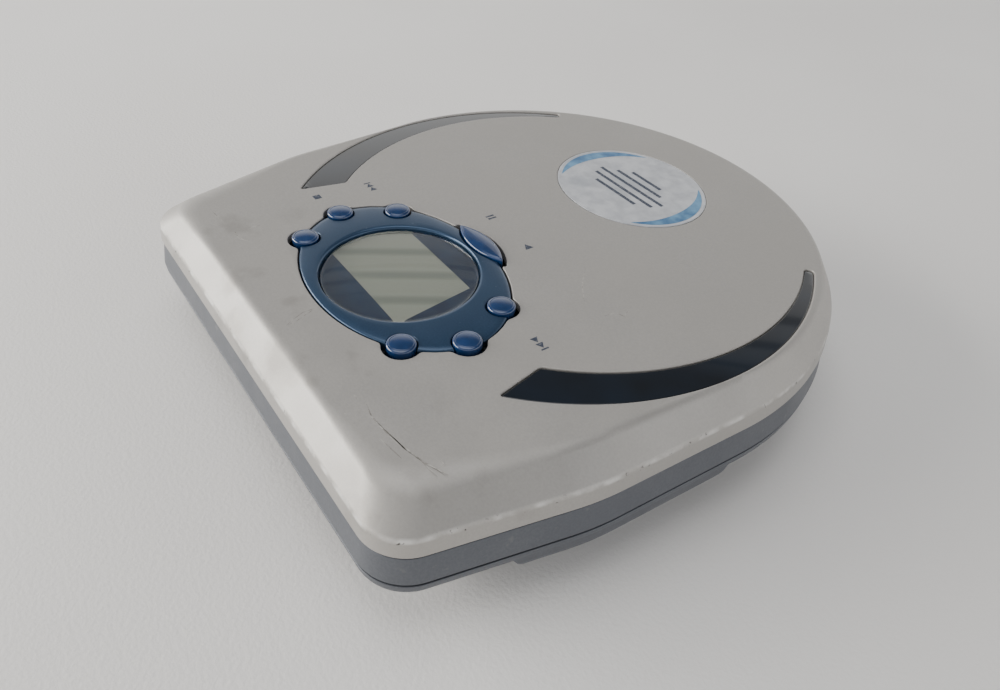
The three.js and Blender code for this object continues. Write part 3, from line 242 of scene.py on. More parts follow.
def coated(material, tone, rough=None, relief=None, strength=0.0, depth=0.0):
    """Links a finish's colour and, where given, its roughness and a relief this many mm deep."""
    tree = material.node_tree
    shader = tree.nodes["shader"]
    tree.links.new(tone, shader.inputs["Base Color"])
    if rough:
        tree.links.new(rough, shader.inputs["Roughness"])
    if relief:
        bump = add(tree, "ShaderNodeBump", {"Height": relief, "Strength": strength, "Distance": depth * MM})
        tree.links.new(bump.outputs["Normal"], shader.inputs["Normal"])
    return material


def silver_paint(colours):
    """Silver flake paint sprayed on ABS: satin, faintly sparkling, with a pale painted highlight along the
    rim, broken up like rubbed paint.
    """
    material, tree, place = new_finish("silver_flake_paint", Metallic=0.5, IOR=1.5)
    # real flake is finer than this and is drawn coarse to show
    flake = noise_at(tree, place, 0.45, detail=2.0, low=0.3, high=0.7)
    cloud = noise_at(tree, place, 26.0, detail=4.0)
    # handling dirt: brownish grey patches, gathered towards the rear
    where = add(tree, "ShaderNodeSeparateXYZ", {"Vector": place})
    rear = add(tree, "ShaderNodeMapRange", {
        "Value": where.outputs["Y"], "From Min": 0.030, "From Max": 0.060}).outputs[0]
    patches = noise_at(tree, place, 9.0, detail=6.0, low=0.56, high=0.70)
    grime = add(tree, "ShaderNodeMath", {0: patches, 1: rear}, operation="MULTIPLY").outputs[0]
    # the rim's upper edge: a pale band of painted highlight along its rounded edge, broken up by chips like
    # rubbed paint, and dark nicks of wear
    height = where.outputs["Z"]
    wear = []
    for edges, chips in (((0.0241, 0.0245, 0.0248, 0.0252), noise_at(tree, place, 5.0, 9.0, 0.44, 0.60)),
                         ((0.0240, 0.0243, 0.0248, 0.0252), noise_at(tree, place, 1.3, 5.0, 0.63, 0.70))):
        line = band_between(tree, height, *edges)
        wear.append(add(tree, "ShaderNodeMath", {0: line, 1: chips}, operation="MULTIPLY").outputs[0])
    # the first rim layer is the pale painted highlight, the second the dark nicks of wear
    tone = layered(
        tree, scaled(colours.silver, 0.90), (flake, 1, colours.silver),
        (cloud, 0.5, scaled(colours.silver, 0.94, 0.93, 0.91)), (grime, 0.35, "#7C7770"),
        (wear[0], 0.7, "#DEDDDA"), (wear[1], 1, "#4A4744"))
    satin = noise_at(tree, place, 12.0, to_low=0.44, to_high=0.52)
    rough = add(tree, "ShaderNodeMath", {0: wear[0], 1: 0.2, 2: satin}, operation="MULTIPLY_ADD").outputs[0]
    orange_peel = noise_at(tree, place, 0.6, detail=2.0, low=0.2, high=0.8)
    return coated(material, tone, rough, orange_peel, 0.35, 0.03)


def gunmetal_paint(colours):
    """Dark grey flake paint on ABS: duller than the lid, cooler in shade."""
    material, tree, place = new_finish("gunmetal_flake_paint", Metallic=0.45, IOR=1.5)
    tone = layered(
        tree, scaled(colours.gunmetal, 0.84),
        (noise_at(tree, place, 0.45, detail=2.0, low=0.3, high=0.7), 1, colours.gunmetal),
        (noise_at(tree, place, 20.0, detail=4.0), 0.4, "#5A5D64"),
        (noise_at(tree, place, 3.0, detail=8.0, low=0.66, high=0.74), 0.25, "#8F8E8C"))
    grain = noise_at(tree, place, 0.5, detail=2.0, low=0.2, high=0.8)
    return coated(material, tone, noise_at(tree, place, 9.0, to_low=0.42, to_high=0.52), grain, 0.3, 0.03)


def ring_paint(colours):
    """Blue metallic lacquer: fine flake under a satin clear coat."""
    material, tree, place = new_finish(
        "blue_metallic_lacquer", Metallic=0.55, Coat_Weight=0.35, Coat_Roughness=0.22)
    blue = colours.ring_blue
    tone = layered(
        tree, scaled(blue, 0.86),
        (noise_at(tree, place, 0.3, detail=2.0, low=0.3, high=0.7), 1, scaled(blue, 1.10)),
        (noise_at(tree, place, 1.1, detail=6.0, low=0.72, high=0.76), 0.4, "#8FA0B2"))
    return coated(material, tone, noise_at(tree, place, 8.0, to_low=0.30, to_high=0.38))


def button_plastic(colours):
    """Tinted polished ABS: deep blue body under a wet gloss, with faint finger marks."""
    material, tree, place = new_finish(
        "polished_blue_abs", Metallic=0.1, Coat_Weight=0.8, Coat_Roughness=0.05, IOR=1.53)
    blue = colours.button_blue
    tone = layered(tree, blue, (noise_at(tree, place, 2.5), 1, scaled(blue, 1.35)))
    return coated(material, tone, noise_at(tree, place, 1.6, detail=5.0, to_low=0.12, to_high=0.26))


def smoked_acrylic():
    """Polished smoked acrylic: nearly black blue with a mirror gloss and a few hairlines."""
    material, tree, place = new_finish(
        "polished_smoked_acrylic", Coat_Weight=1.0, Coat_Roughness=0.03, IOR=1.49)
    tone = layered(tree, "#04080F", (noise_at(tree, place, 14.0, detail=2.0), 1, "#081420"))
    hair = noise_at(tree, place, 0.7, detail=8.0, low=0.68, high=0.74, to_low=0.07, to_high=0.25)
    return coated(material, tone, hair)


def moulded_black():
    """Spark-eroded black ABS: fine even grain, dull."""
    material, tree, place = new_finish("grained_black_abs", IOR=1.5)
    tone = layered(tree, "#18191B", (noise_at(tree, place, 12.0), 1, "#26272A"))
    grain = noise_at(tree, place, 0.4, low=0.2, high=0.8)
    return coated(material, tone, noise_at(tree, place, 5.0, to_low=0.46, to_high=0.6), grain, 0.5, 0.05)


def clear_acrylic():
    """Clear polished acrylic with faint wiping marks."""
    material, tree, place = new_finish(
        "clear_acrylic", IOR=1.49, Transmission_Weight=1.0, Base_Color=rgba("#F3F6F6"))
    marks = noise_at(tree, place, 2.0, detail=8.0, low=0.62, high=0.72, to_low=0.0, to_high=0.10)
    tree.links.new(marks, tree.nodes["shader"].inputs["Roughness"])
    return material


def display_glass():
    """Reflective liquid crystal glass: grey green, with broad soft bands across it that are painted
    reflections of the room's light.
    """
    material, tree, place = new_finish("liquid_crystal_glass", Roughness=0.22, IOR=1.5)
    # painted reflection: soft darker and lighter bands across the glass, put into its colour
    turned = add(tree, "ShaderNodeMapping", {"Vector": place, "Rotation": (0, 0, math.radians(-59))})
    across = add(tree, "ShaderNodeSeparateXYZ", {"Vector": turned.outputs["Vector"]}).outputs["Y"]
    wave = add(tree, "ShaderNodeMath", {
        0: across, 1: every(8.6) * math.tau, 2: 1.1}, operation="MULTIPLY_ADD")
    swing = add(tree, "ShaderNodeMath", {0: wave.outputs[0]}, operation="SINE").outputs[0]
    reflection_bands = add(tree, "ShaderNodeMapRange", {
        "Value": swing, "From Min": 0.25, "From Max": 1.0, "To Max": 0.62}).outputs[0]
    grain = noise_at(tree, place, 0.5, low=0.3, high=0.7)
    return coated(material, layered(tree, "#C4C3B2", (reflection_bands, 1, "#8D9586"), (grain, 0.12, "#7E867A")))


def mask_print():
    """Screen printed mask behind the window: flat deep blue ink."""
    material, tree, place = new_finish("printed_mask_ink", Roughness=0.35, IOR=1.5)
    return coated(material, layered(tree, "#10284A", (noise_at(tree, place, 7.0), 1, "#1B385A")))


def badge_foil():
    """Embossed aluminium foil label: pale, with a painted sheen that is lighter where a fine crumple rises,
    and rubbed grey patches.
    """
    material, tree, place = new_finish("embossed_foil_label", Metallic=0.35)
    crumple_and_sheen = noise_at(tree, place, 3.2, detail=9.0)
    rubbed = noise_at(tree, place, 11.0, detail=9.0, low=0.50, high=0.66)
    # painted sheen: paler where the crumple's relief rises; the grey patches are rubbed wear
    tone = layered(tree, "#B4B6BB", (crumple_and_sheen, 1, "#C8CACE"), (rubbed, 0.5, "#9AA0A8"))
    return coated(material, tone, noise_at(tree, place, 1.2, to_low=0.28, to_high=0.5), crumple_and_sheen, 0.4, 0.04)


def foil_ink():
    """Blue translucent ink printed on foil."""
    material, tree, place = new_finish("blue_foil_ink", Metallic=0.5, Roughness=0.3)
    return coated(material, layered(tree, "#3F6E9A", (noise_at(tree, place, 4.0), 1, "#6FA0C4")))


def print_ink():
    """Pad-printed dark blue ink, slightly worn."""
    material, tree, place = new_finish("pad_print_ink", Roughness=0.5)
    wear = noise_at(tree, place, 0.6, detail=6.0, low=0.5, high=0.75)
    return coated(material, layered(tree, "#2B3446", (wear, 1, "#7D7F84")))


def scuff_mark():
    """Dirt rubbed into a scratch: broken dark grey."""
    material, tree, place = new_finish("scratched_in_dirt", Roughness=0.7)
    broken = noise_at(tree, place, 1.1, detail=8.0, low=0.40, high=0.60)
    return coated(material, layered(tree, "#827E79", (broken, 1, "#AFACA7")))


def bright_steel():
    """Ground steel: bright, with fine lines along its length."""
    material, tree, place = new_finish("ground_steel", Metallic=1.0)
    drawn = add(tree, "ShaderNodeMapping", {"Vector": place, "Scale": (1.0, 0.05, 1.0)}).outputs["Vector"]
    tone = layered(tree, "#A4A6A8", (noise_at(tree, drawn, 0.25, detail=4.0), 1, "#C6C8CA"))
    return coated(material, tone, noise_at(tree, drawn, 0.3, to_low=0.22, to_high=0.4))


def zinc_sheet():
    """Zinc-plated sheet steel: cloudy pale grey spangle."""
    material, tree, place = new_finish("zinc_plated_sheet", Metallic=0.9)
    spangle = add(tree, "ShaderNodeTexVoronoi", {"Vector": place, "Scale": every(3.0)}).outputs["Color"]
    value = add(tree, "ShaderNodeSeparateColor", {"Color": spangle}).outputs[0]
    tone = layered(tree, "#8F9396", (value, 1, "#B4B8BA"))
    return coated(material, tone, noise_at(tree, place, 4.0, to_low=0.35, to_high=0.5))


def solder_mask():
    """Green solder mask over copper tracks, with tinned pads showing through."""
    material, tree, place = new_finish("green_solder_mask", Roughness=0.35, Coat_Weight=0.3)
    tracks = add(tree, "ShaderNodeTexBrick", {
        "Vector": place, "Scale": every(4.0), "Color1": rgba("#1E5A38"), "Color2": rgba("#256B44"),
        "Mortar": rgba("#2F7E50"), "Mortar Size": 0.03}).outputs["Color"]
    pads = noise_at(tree, place, 1.4, detail=0.0, low=0.70, high=0.72)
    return coated(material, layered(tree, tracks, (pads, 1, "#B9BBB4")))


def black_rubber():
    """Moulded rubber: matt, dusty black."""
    material, tree, place = new_finish("moulded_rubber", IOR=1.52)
    tone = layered(tree, "#161616", (noise_at(tree, place, 2.0, detail=5.0), 1, "#2C2C2B"))
    grain = noise_at(tree, place, 0.5, low=0.2, high=0.8)
    return coated(material, tone, noise_at(tree, place, 1.5, to_low=0.75, to_high=0.92), grain, 0.4, 0.05)


def white_acetal():
    """Natural acetal: milky white with a slight waxy sheen."""
    material, tree, place = new_finish("natural_acetal", IOR=1.48, Roughness=0.38)
    return coated(material, layered(tree, "#D9D6CC", (noise_at(tree, place, 5.0), 1, "#E9E7DF")))


def cell_sleeve():
    """Shrunk PVC sleeve of a battery cell, plain green with a paler band round it."""
    material, tree, place = new_finish("shrunk_pvc_sleeve", Coat_Weight=0.4, Roughness=0.3)
    along = add(tree, "ShaderNodeSeparateXYZ", {"Vector": place}).outputs["X"]
    pale = band_between(tree, along, -0.0180, -0.0178, -0.0110, -0.0108)
    cloud = noise_at(tree, place, 6.0)
    return coated(material, layered(tree, "#2E5A45", (pale, 1, "#B9BDA8"), (cloud, 0.25, "#1E3D30")))


FINISHES = {}


def make_finishes(colours):
    """Builds every material once and keeps it under the part-maker's short name."""
    FINISHES.update({
        "silver": silver_paint(colours), "gunmetal": gunmetal_paint(colours), "ring": ring_paint(colours),
        "button": button_plastic(colours), "inlay": smoked_acrylic(), "black": moulded_black(),
        "clear": clear_acrylic(), "display": display_glass(), "mask": mask_print(), "foil": badge_foil(),
        "foil_ink": foil_ink(), "ink": print_ink(), "scuff": scuff_mark(), "steel": bright_steel(),
        "zinc": zinc_sheet(), "board": solder_mask(), "rubber": black_rubber(), "acetal": white_acetal(),
        "sleeve": cell_sleeve(),
    })


# ------------------------------------------------------------------ outlines and shells


def round_points(angles, middle, rx, ry=None):
    """Points round a middle at given angles in radians."""
    ry = rx if ry is None else ry
    return np.column_stack([middle[0] + rx * np.cos(angles), middle[1] + ry * np.sin(angles)])


def arc(cx, cy, radius, start, stop, count):
    """Points along an arc, in degrees from +X."""
    return round_points(np.radians(np.linspace(start, stop, count)), (cx, cy), radius)


def plan(shape, inset=0.0):
    """A case outline, anticlockwise, moved inwards; outlines of one shape match point for point."""
    side, taper = math.radians(shape["tilt"]), math.radians(shape["taper"])
    bend_x = shape["radius"] - (shape["bend_y"] - shape["centre"]) * math.sin(side)
    bend_x /= math.cos(side)
    middle, half = (taper + side) / 2, (taper - side) / 2
    reach = shape["bend_radius"] / math.cos(half)
    bx, by = bend_x - reach * math.cos(middle), shape["bend_y"] - reach * math.sin(middle)
    edge = bend_x * math.cos(taper) + shape["bend_y"] * math.sin(taper)
    cy = shape["rear"] - shape["corner"]
    cx = (edge - shape["corner"] - cy * math.sin(taper)) / math.cos(taper)
    right = np.vstack([
        arc(0, shape["centre"], shape["radius"] - inset, -90, shape["tilt"], 100),
        arc(bx, by, shape["bend_radius"] - inset, shape["tilt"], shape["taper"], 10),
        arc(cx, cy, shape["corner"] - inset, shape["taper"], 90, 18),
    ])
    rear = np.linspace(right[-1], [-right[-1][0], right[-1][1]], 26)[1:-1]
    left = right[::-1][:-1] * [-1, 1]
    return np.vstack([right, rear, left])


def ellipse(centre, radii, count=240):
    """An ellipse, anticlockwise."""
    return round_points(np.linspace(0, math.tau, count, endpoint=False), centre, *radii)


def lens(cy, half_length, half_width, count=48):
    """A pointed lens of two equal arcs, long along X, anticlockwise."""
    radius = (half_length ** 2 + half_width ** 2) / (2 * half_width)
    sweep = math.degrees(math.asin(half_length / radius))
    upper = arc(0, cy + half_width - radius, radius, 90 - sweep, 90 + sweep, count)
    lower = arc(0, cy - half_width + radius, radius, 270 - sweep, 270 + sweep, count)
    return np.vstack([upper[:-1], lower[:-1]])


def inside(points, outline):
    """Which points lie inside a closed outline."""
    x, y = points[:, :1], points[:, 1:2]
    a, b = outline, np.roll(outline, -1, axis=0)
    crosses = (a[None, :, 1] > y) != (b[None, :, 1] > y)
    with np.errstate(divide="ignore", invalid="ignore"):
        at = (b[:, 0] - a[:, 0]) * (y - a[:, 1]) / (b[:, 1] - a[:, 1]) + a[:, 0]
    return (np.sum(crosses & (x < at), axis=1) % 2).astype(bool)


def run_of(points, keep):
    """The one unbroken run of kept points in a closed loop, in order."""
    start = next(i for i in range(len(points)) if keep[i] and not keep[i - 1])
    turned = np.roll(points, -start, axis=0)
    return turned[: int(np.sum(keep))]


def merged(base, other):
    """The outline of base together with another shape that crosses it once on each side."""
    kept = ~inside(base, other)
    return np.vstack([run_of(base, kept), run_of(other, ~inside(other, base))])


def offset(loop, distance):
    """A loop moved outwards by a small distance."""
    before, after = np.roll(loop, 1, axis=0), np.roll(loop, -1, axis=0)
    along = after - before
    along /= np.linalg.norm(along, axis=1)[:, None]
    return loop + np.column_stack([along[:, 1], -along[:, 0]]) * distance


def lifted(points, z):
    """Plan points at a height."""
    return np.column_stack([points, np.full(len(points), float(z))])


def outlines(*levels):
    """Outlines at heights, from (shape, inset, height) rows."""
    return [lifted(plan(shape, inset), z) for shape, inset, z in levels]


def curve_between(first, corner, last, steps):
    """Points of a curve that leaves first towards the corner and ends at last."""
    return [(1 - t) ** 2 * first + 2 * t * (1 - t) * corner + t * t * last
            for t in np.linspace(0, 1, steps + 1)]


def soften(rings, k, before, after, steps=6):
    """Rounds the corner that ring k is, from `before` mm ahead of it to `after` mm past it."""
    a, b, c = rings[k - 1], rings[k], rings[k + 1]
    ahead, past = np.linalg.norm(a - b, axis=1), np.linalg.norm(c - b, axis=1)
    first = b + (a - b) * (np.minimum(before, ahead * 0.95) / ahead)[:, None]
    last = b + (c - b) * (np.minimum(after, past * 0.95) / past)[:, None]
    return rings[:k] + curve_between(first, b, last, steps) + rings[k + 1:]


class Shell:
    """Loops and faces in millimetres from the disc axis, made into one mesh at the end."""

    def __init__(self):
        self.points, self.faces = [], []

    def loop(self, points):
        start = len(self.points)
        self.points.extend(points)
        return np.arange(start, start + len(points))

    def bridge(self, low, high):
        for i in range(len(low)):
            j = (i + 1) % len(low)
            self.faces.append((low[i], low[j], high[j], high[i]))

    def stack(self, rings):
        """Bridges rings in order and returns the first and last loop."""
        loops = [self.loop(ring) for ring in rings]
        for low, high in zip(loops, loops[1:]):
            self.bridge(low, high)
        return loops[0], loops[-1]

    def fill(self, outer, holes=()):
        loops = [outer, *holes]
        flat = np.concatenate(loops)
        triangles = tessellate_polygon([[Vector(self.points[i]) for i in loop] for loop in loops])
        for a, b, c in triangles:
            self.faces.append((flat[a], flat[b], flat[c]))

    def mesh(self, name):
        """The faces as a mesh in metres in the row frame, with outward normals."""
        mesh = bpy.data.meshes.new(name)
        points = (np.array(self.points, float) + [0, DISC_Y, 0]) * MM
        mesh.from_pydata(points.tolist(), [], [tuple(int(i) for i in f) for f in self.faces])
        work = bmesh.new()
        work.from_mesh(mesh)
        bmesh.ops.remove_doubles(work, verts=work.verts, dist=1e-7)
        bmesh.ops.recalc_face_normals(work, faces=work.faces)
        work.to_mesh(mesh)
        work.free()
        return mesh


def placed(name, data):
    """A new object in the scene."""
    made = bpy.data.objects.new(name, data)
    bpy.context.scene.collection.objects.link(made)
    return made


def finished(name, mesh, key, body, stands_for=(), angle=32):
    """Makes the object: shaded smooth up to an angle, weighted normals, riding on its body."""
    made = placed(name, mesh)
    mesh.materials.clear()
    mesh.materials.append(FINISHES[key])
    mesh.shade_smooth()
    mesh.set_sharp_from_angle(angle=math.radians(angle))
    weighted = made.modifiers.new("even_shading", "WEIGHTED_NORMAL")
    weighted.keep_sharp = True
    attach(made, body)
    if stands_for:
        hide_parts(*stands_for)
    return made


def applied(thing):
    """The evaluated mesh of an object; the object and its modifiers are removed."""
    graph = bpy.context.evaluated_depsgraph_get()
    mesh = bpy.data.meshes.new_from_object(thing.evaluated_get(graph), depsgraph=graph)
    bpy.data.objects.remove(thing)
    return mesh


def carve(mesh, cutters, operation="DIFFERENCE"):
    """Cuts, joins or intersects closed meshes one after another."""
    target = placed("carved", mesh)
    tools = []
    for cutter in cutters:
        tool = placed("cutter", cutter)
        tools.append(tool)
        step = target.modifiers.new("cut", "BOOLEAN")
        step.operation, step.solver, step.object = operation, "EXACT", tool
    bpy.context.view_layer.update()
    result = applied(target)
    for tool in tools:
        bpy.data.objects.remove(tool)
    return result


def capped(rings, name):
    """A solid through rings, closed at its first and last one."""
    shell = Shell()
    first, last = shell.stack(rings)
    shell.fill(first)
    shell.fill(last)
    return shell.mesh(name)


def tube(rings, name):
    """A solid through rings whose last one joins the first."""
    shell = Shell()
    loops = [shell.loop(ring) for ring in rings]
    for low, high in zip(loops, loops[1:] + loops[:1]):
        shell.bridge(low, high)
    return shell.mesh(name)


def solid_between(loop, z0, z1):
    """A closed prism."""
    return capped([lifted(loop, z0), lifted(loop, z1)], "prism")


def block(x0, x1, y0, y1, z0, z1):
    """A closed box."""
    return solid_between(np.array([[x0, y0], [x1, y0], [x1, y1], [x0, y1]], float), z0, z1)


def rod_along_x(x0, x1, y, z, radius, count=48):
    """A closed rod along X."""
    angles = np.linspace(0, math.tau, count, endpoint=False)
    circle = np.column_stack([np.zeros(count), round_points(angles, (y, z), radius)])
    return capped([circle + [x0, 0, 0], circle + [x1, 0, 0]], "rod")


def round_rings(profile, centre, count):
    """Circles of a profile of radius and height pairs."""
    return [lifted(ellipse(centre, (r, r), count), z) for r, z in profile]


def revolved(profile, centre, count=64):
    """A solid of revolution about a vertical axis, closed flat at both ends of its profile."""
    return capped(round_rings(profile, centre, count), "turned")


def softened(node, key, width):
    """A CAD node's shape with its edges rounded, standing for the node."""
    source = frame["nodes"][node]
    work = bmesh.new()
    work.from_mesh(source.data)
    bmesh.ops.remove_doubles(work, verts=work.verts, dist=2e-6)
    bmesh.ops.dissolve_limit(work, angle_limit=math.radians(0.6), verts=work.verts, edges=work.edges)
    mesh = bpy.data.meshes.new(node)
    work.to_mesh(mesh)
    work.free()
    copy = placed("copy", mesh)
    bevel = copy.modifiers.new("edge", "BEVEL")
    bevel.width, bevel.segments, bevel.limit_method = width * MM, 2, "ANGLE"
    bevel.angle_limit = math.radians(38)
    bevel.use_clamp_overlap = True
    bpy.context.view_layer.update()
    return finished(node + "_rounded", applied(copy), key, source["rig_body"], [node])


# ------------------------------------------------------------------ shared outlines


def even(loop, spacing=0.3, rounds=5):
    """A closed loop with evenly spaced points and its sharp joints slightly rounded."""
    closed = np.vstack([loop, loop[:1]])
    run = np.concatenate([[0], np.cumsum(np.linalg.norm(np.diff(closed, axis=0), axis=1))])
    at = np.linspace(0, run[-1], int(run[-1] / spacing), endpoint=False)
    points = np.column_stack([np.interp(at, run, closed[:, i]) for i in (0, 1)])
    for _ in range(rounds):
        points = 0.5 * points + 0.25 * (np.roll(points, 1, axis=0) + np.roll(points, -1, axis=0))
    return points


def control_spots():
    """Centres of the round buttons in plan, in order round the ring, and the play key's centre."""
    return [centre_of("button_" + name) for name in ROUND_BUTTONS], centre_of("button_play")


def opening_loop(gap):
    """The lid's opening: the ring's ellipse with a scallop round every button."""
    rounds, play = control_spots()
    loop = ellipse(RING_CENTRE, RING_RADII, 720)
    for spot in rounds:
        loop = merged(loop, ellipse(spot, (KEY_RADIUS + gap, KEY_RADIUS + gap), 96))
    loop = merged(loop, lens(play[1], PLAY_KEY[0] + gap * 1.6, PLAY_KEY[1] + gap, 90))
    return even(loop)


def crescent_loop(side, grow=0.0):
    """Outline of a crescent inlay: a concentric outer arc, a flatter inner one and a slanted end."""
    outer_radius, inner_radius, inner_y, drop = 60.0, 54.8, -5.4, 8.5
    outer = arc(0, 0, outer_radius, -40.5, 46.5, 180)
    end, start = outer[-1], outer[0]
    inner = arc(0, inner_y, inner_radius,
                math.degrees(math.atan2(end[1] - inner_y - drop, end[0])),
                math.degrees(math.atan2(start[1] - inner_y, start[0])), 180)
    loop = np.vstack([outer, inner])
    if side < 0:
        loop = (loop * [-1, 1])[::-1]
    return offset(even(loop, 0.35, 3), grow)


def badge_loop(grow=0.0):
    """Outline of the oval badge."""
    low, high = node_box("lid_badge")
    middle = centre_of("lid_badge")
    return ellipse(middle, ((high.x - low.x) / 2 + grow, (high.y - low.y) / 2 + grow), 220)


def quarter(loop, top, radius, outwards, steps=4):
    """Rings of a rounded edge at the top of a wall, from the wall up to the flat."""
    rings = []
    for t in np.linspace(0, math.pi / 2, steps + 1):
        moved = offset(loop, outwards * radius * (1 - math.cos(t)))
        rings.append(lifted(moved, top - radius * (1 - math.sin(t))))
    return rings


# ------------------------------------------------------------------ lid


CORNER_REACH = 26.0  # how far from a rear corner the extra rounding fades out


def corner_share(points):
    """How near each point is to a rear corner, from 0 to 1."""
    corner = np.array([LID_HIGH.x - 14.0, REAR_Y - 12.0])
    away = np.linalg.norm(np.abs(points[:, :2]) - corner, axis=1)
    share = np.clip(1 - away / CORNER_REACH, 0, 1)
    share[points[:, 1] < 20] = 0
    return share ** 1.2


def lid_mesh(sizes):
    """The lid: rim, rounded shoulder, softened crease and a flat top with its cut-outs."""
    top_z, wall, edge_z = LID_HIGH.z, LID_WALL, LID_EDGE_Z
    rings = outlines((CASE, wall, edge_z), (CASE, 0, edge_z), (CASE, RIM_DRAFT, SHOULDER_Z),
                     (TOP_FACE, 0, top_z), (TOP_FACE, 7.5, top_z))
    near = corner_share(rings[3])
    angle = np.degrees(np.arctan2(rings[3][:, 1], np.abs(rings[3][:, 0])))
    gap = np.linalg.norm(rings[3][:, :2], axis=1) - 60.0 - sizes.cut_fillet - 0.35
    limit = np.where((angle > -43) & (angle < 49), np.clip(gap, 0.12, 9.0), 9.0)
    for _ in range(8):
        limit = np.minimum(limit, 0.5 * limit + 0.25 * (np.roll(limit, 1) + np.roll(limit, -1)))
    before = sizes.crease_rounding + near * sizes.corner_fade * 0.62
    after = np.minimum(sizes.crease_rounding + near * sizes.corner_fade, limit)
    rings = soften(rings, 3, before, after, 9)[:-1]
    rings = soften(rings, 2, sizes.rim_rounding, sizes.rim_rounding, 5)
    rings = soften(rings, 1, 0.25, 0.25, 3)
    shell = Shell()
    inner_edge, top_edge = shell.stack(rings)

    opening = opening_loop(0.95)
    wall_rings = [lifted(opening, top_z - wall)] + quarter(opening, top_z, sizes.cut_fillet, 1)
    hole_low, hole_top = shell.stack(wall_rings)
    holes = [hole_top]
    recesses = ((crescent_loop(1, 0.2), 0.8), (crescent_loop(-1, 0.2), 0.8), (badge_loop(0.2), 0.3))
    for loop, depth in recesses:
        fillet = min(sizes.cut_fillet, depth * 0.6)
        floor, rim = shell.stack([lifted(loop, top_z - depth)] + quarter(loop, top_z, fillet, 1))
        shell.fill(floor)
        holes.append(rim)
    shell.fill(top_edge, holes)

    upper = [shell.loop(ring) for ring in outlines(
        (CASE, wall + RIM_DRAFT, SHOULDER_Z - 0.69), (TOP_FACE, 0.8, top_z - wall))]
    shell.bridge(inner_edge, upper[0])
    shell.bridge(upper[0], upper[1])
    shell.fill(upper[1], [hole_low])
    return shell.mesh("lid_shell")


HINGE_AXIS = (72.0, 24.5)   # plan y from the disc axis, height
HINGE_X = 33.0


def cheek_profile():
    """Side view of a hinge cheek: round below, cut to the slope of the shoulder above."""
    y, z = HINGE_AXIS
    lower = arc(y, z, 1.6, 0, -180, 24)
    return np.vstack([lower, [[y - 1.6, 28.9], [y - 1.25, 28.9], [y + 1.6, 25.7]]])


def along_x(profile, x0, x1):
    """A closed Y-Z profile run along X."""
    rows = [np.column_stack([np.full(len(profile), float(x)), profile]) for x in (x0, x1)]
    return capped(rows, "run")


def joined(meshes):
    """Several meshes as one."""
    work = bmesh.new()
    for mesh in meshes:
        work.from_mesh(mesh)
    result = bpy.data.meshes.new("joined")
    work.to_mesh(result)
    work.free()
    return result


class PLAYER_OT_lid(bpy.types.Operator):
    """Builds the lid's painted shell and the cheeks of its hidden hinge"""

    bl_idname = "player.lid"
    bl_label = "Lid"

    def execute(self, context):
        shell = lid_mesh(context.scene.player_sizes)
        y, z = HINGE_AXIS
        rooms = [rod_along_x(x - 2.8, x + 2.8, y, z, 1.9) for x in (-HINGE_X, HINGE_X)]
        shell = carve(shell, rooms)
        finished("lid_skin", shell, "silver", "lid", ["lid_shell"])
        cheeks = []
        for side in (-1, 1):
            for face in (-1, 1):
                middle = side * HINGE_X + face * 3.8
                cheeks.append(carve(along_x(cheek_profile(), middle - 1, middle + 1),
                                    [rod_along_x(middle - 2, middle + 2, y, z, 0.88, 24)]))
        finished("lid_hinge_cheeks", joined(cheeks), "silver", "lid")
        return {"FINISHED"}


class PLAYER_OT_inlays(bpy.types.Operator):
    """Builds the two smoked crescents let into the lid"""

    bl_idname = "player.inlays"
    bl_label = "Crescent inlays"

    def execute(self, context):
        for side, node in ((1, "crescent_right"), (-1, "crescent_left")):
            low, high = node_box(node)
            loop = crescent_loop(side)
            inlay = capped([lifted(loop, low.z)] + quarter(loop, high.z, 0.2, -1, 4), node)
            finished(node + "_inlay", inlay, "inlay", "lid", [node])
        return {"FINISHED"}


# ------------------------------------------------------------------ control ring, window, buttons


def flared(loop, wall_top):
    """A cutter that widens at 45 degrees above a height, to leave a chamfer."""
    low, high = 20.0, 33.0
    rings = [lifted(loop, low), lifted(loop, wall_top), lifted(offset(loop, high - wall_top), high)]
    return capped(rings, "flared")


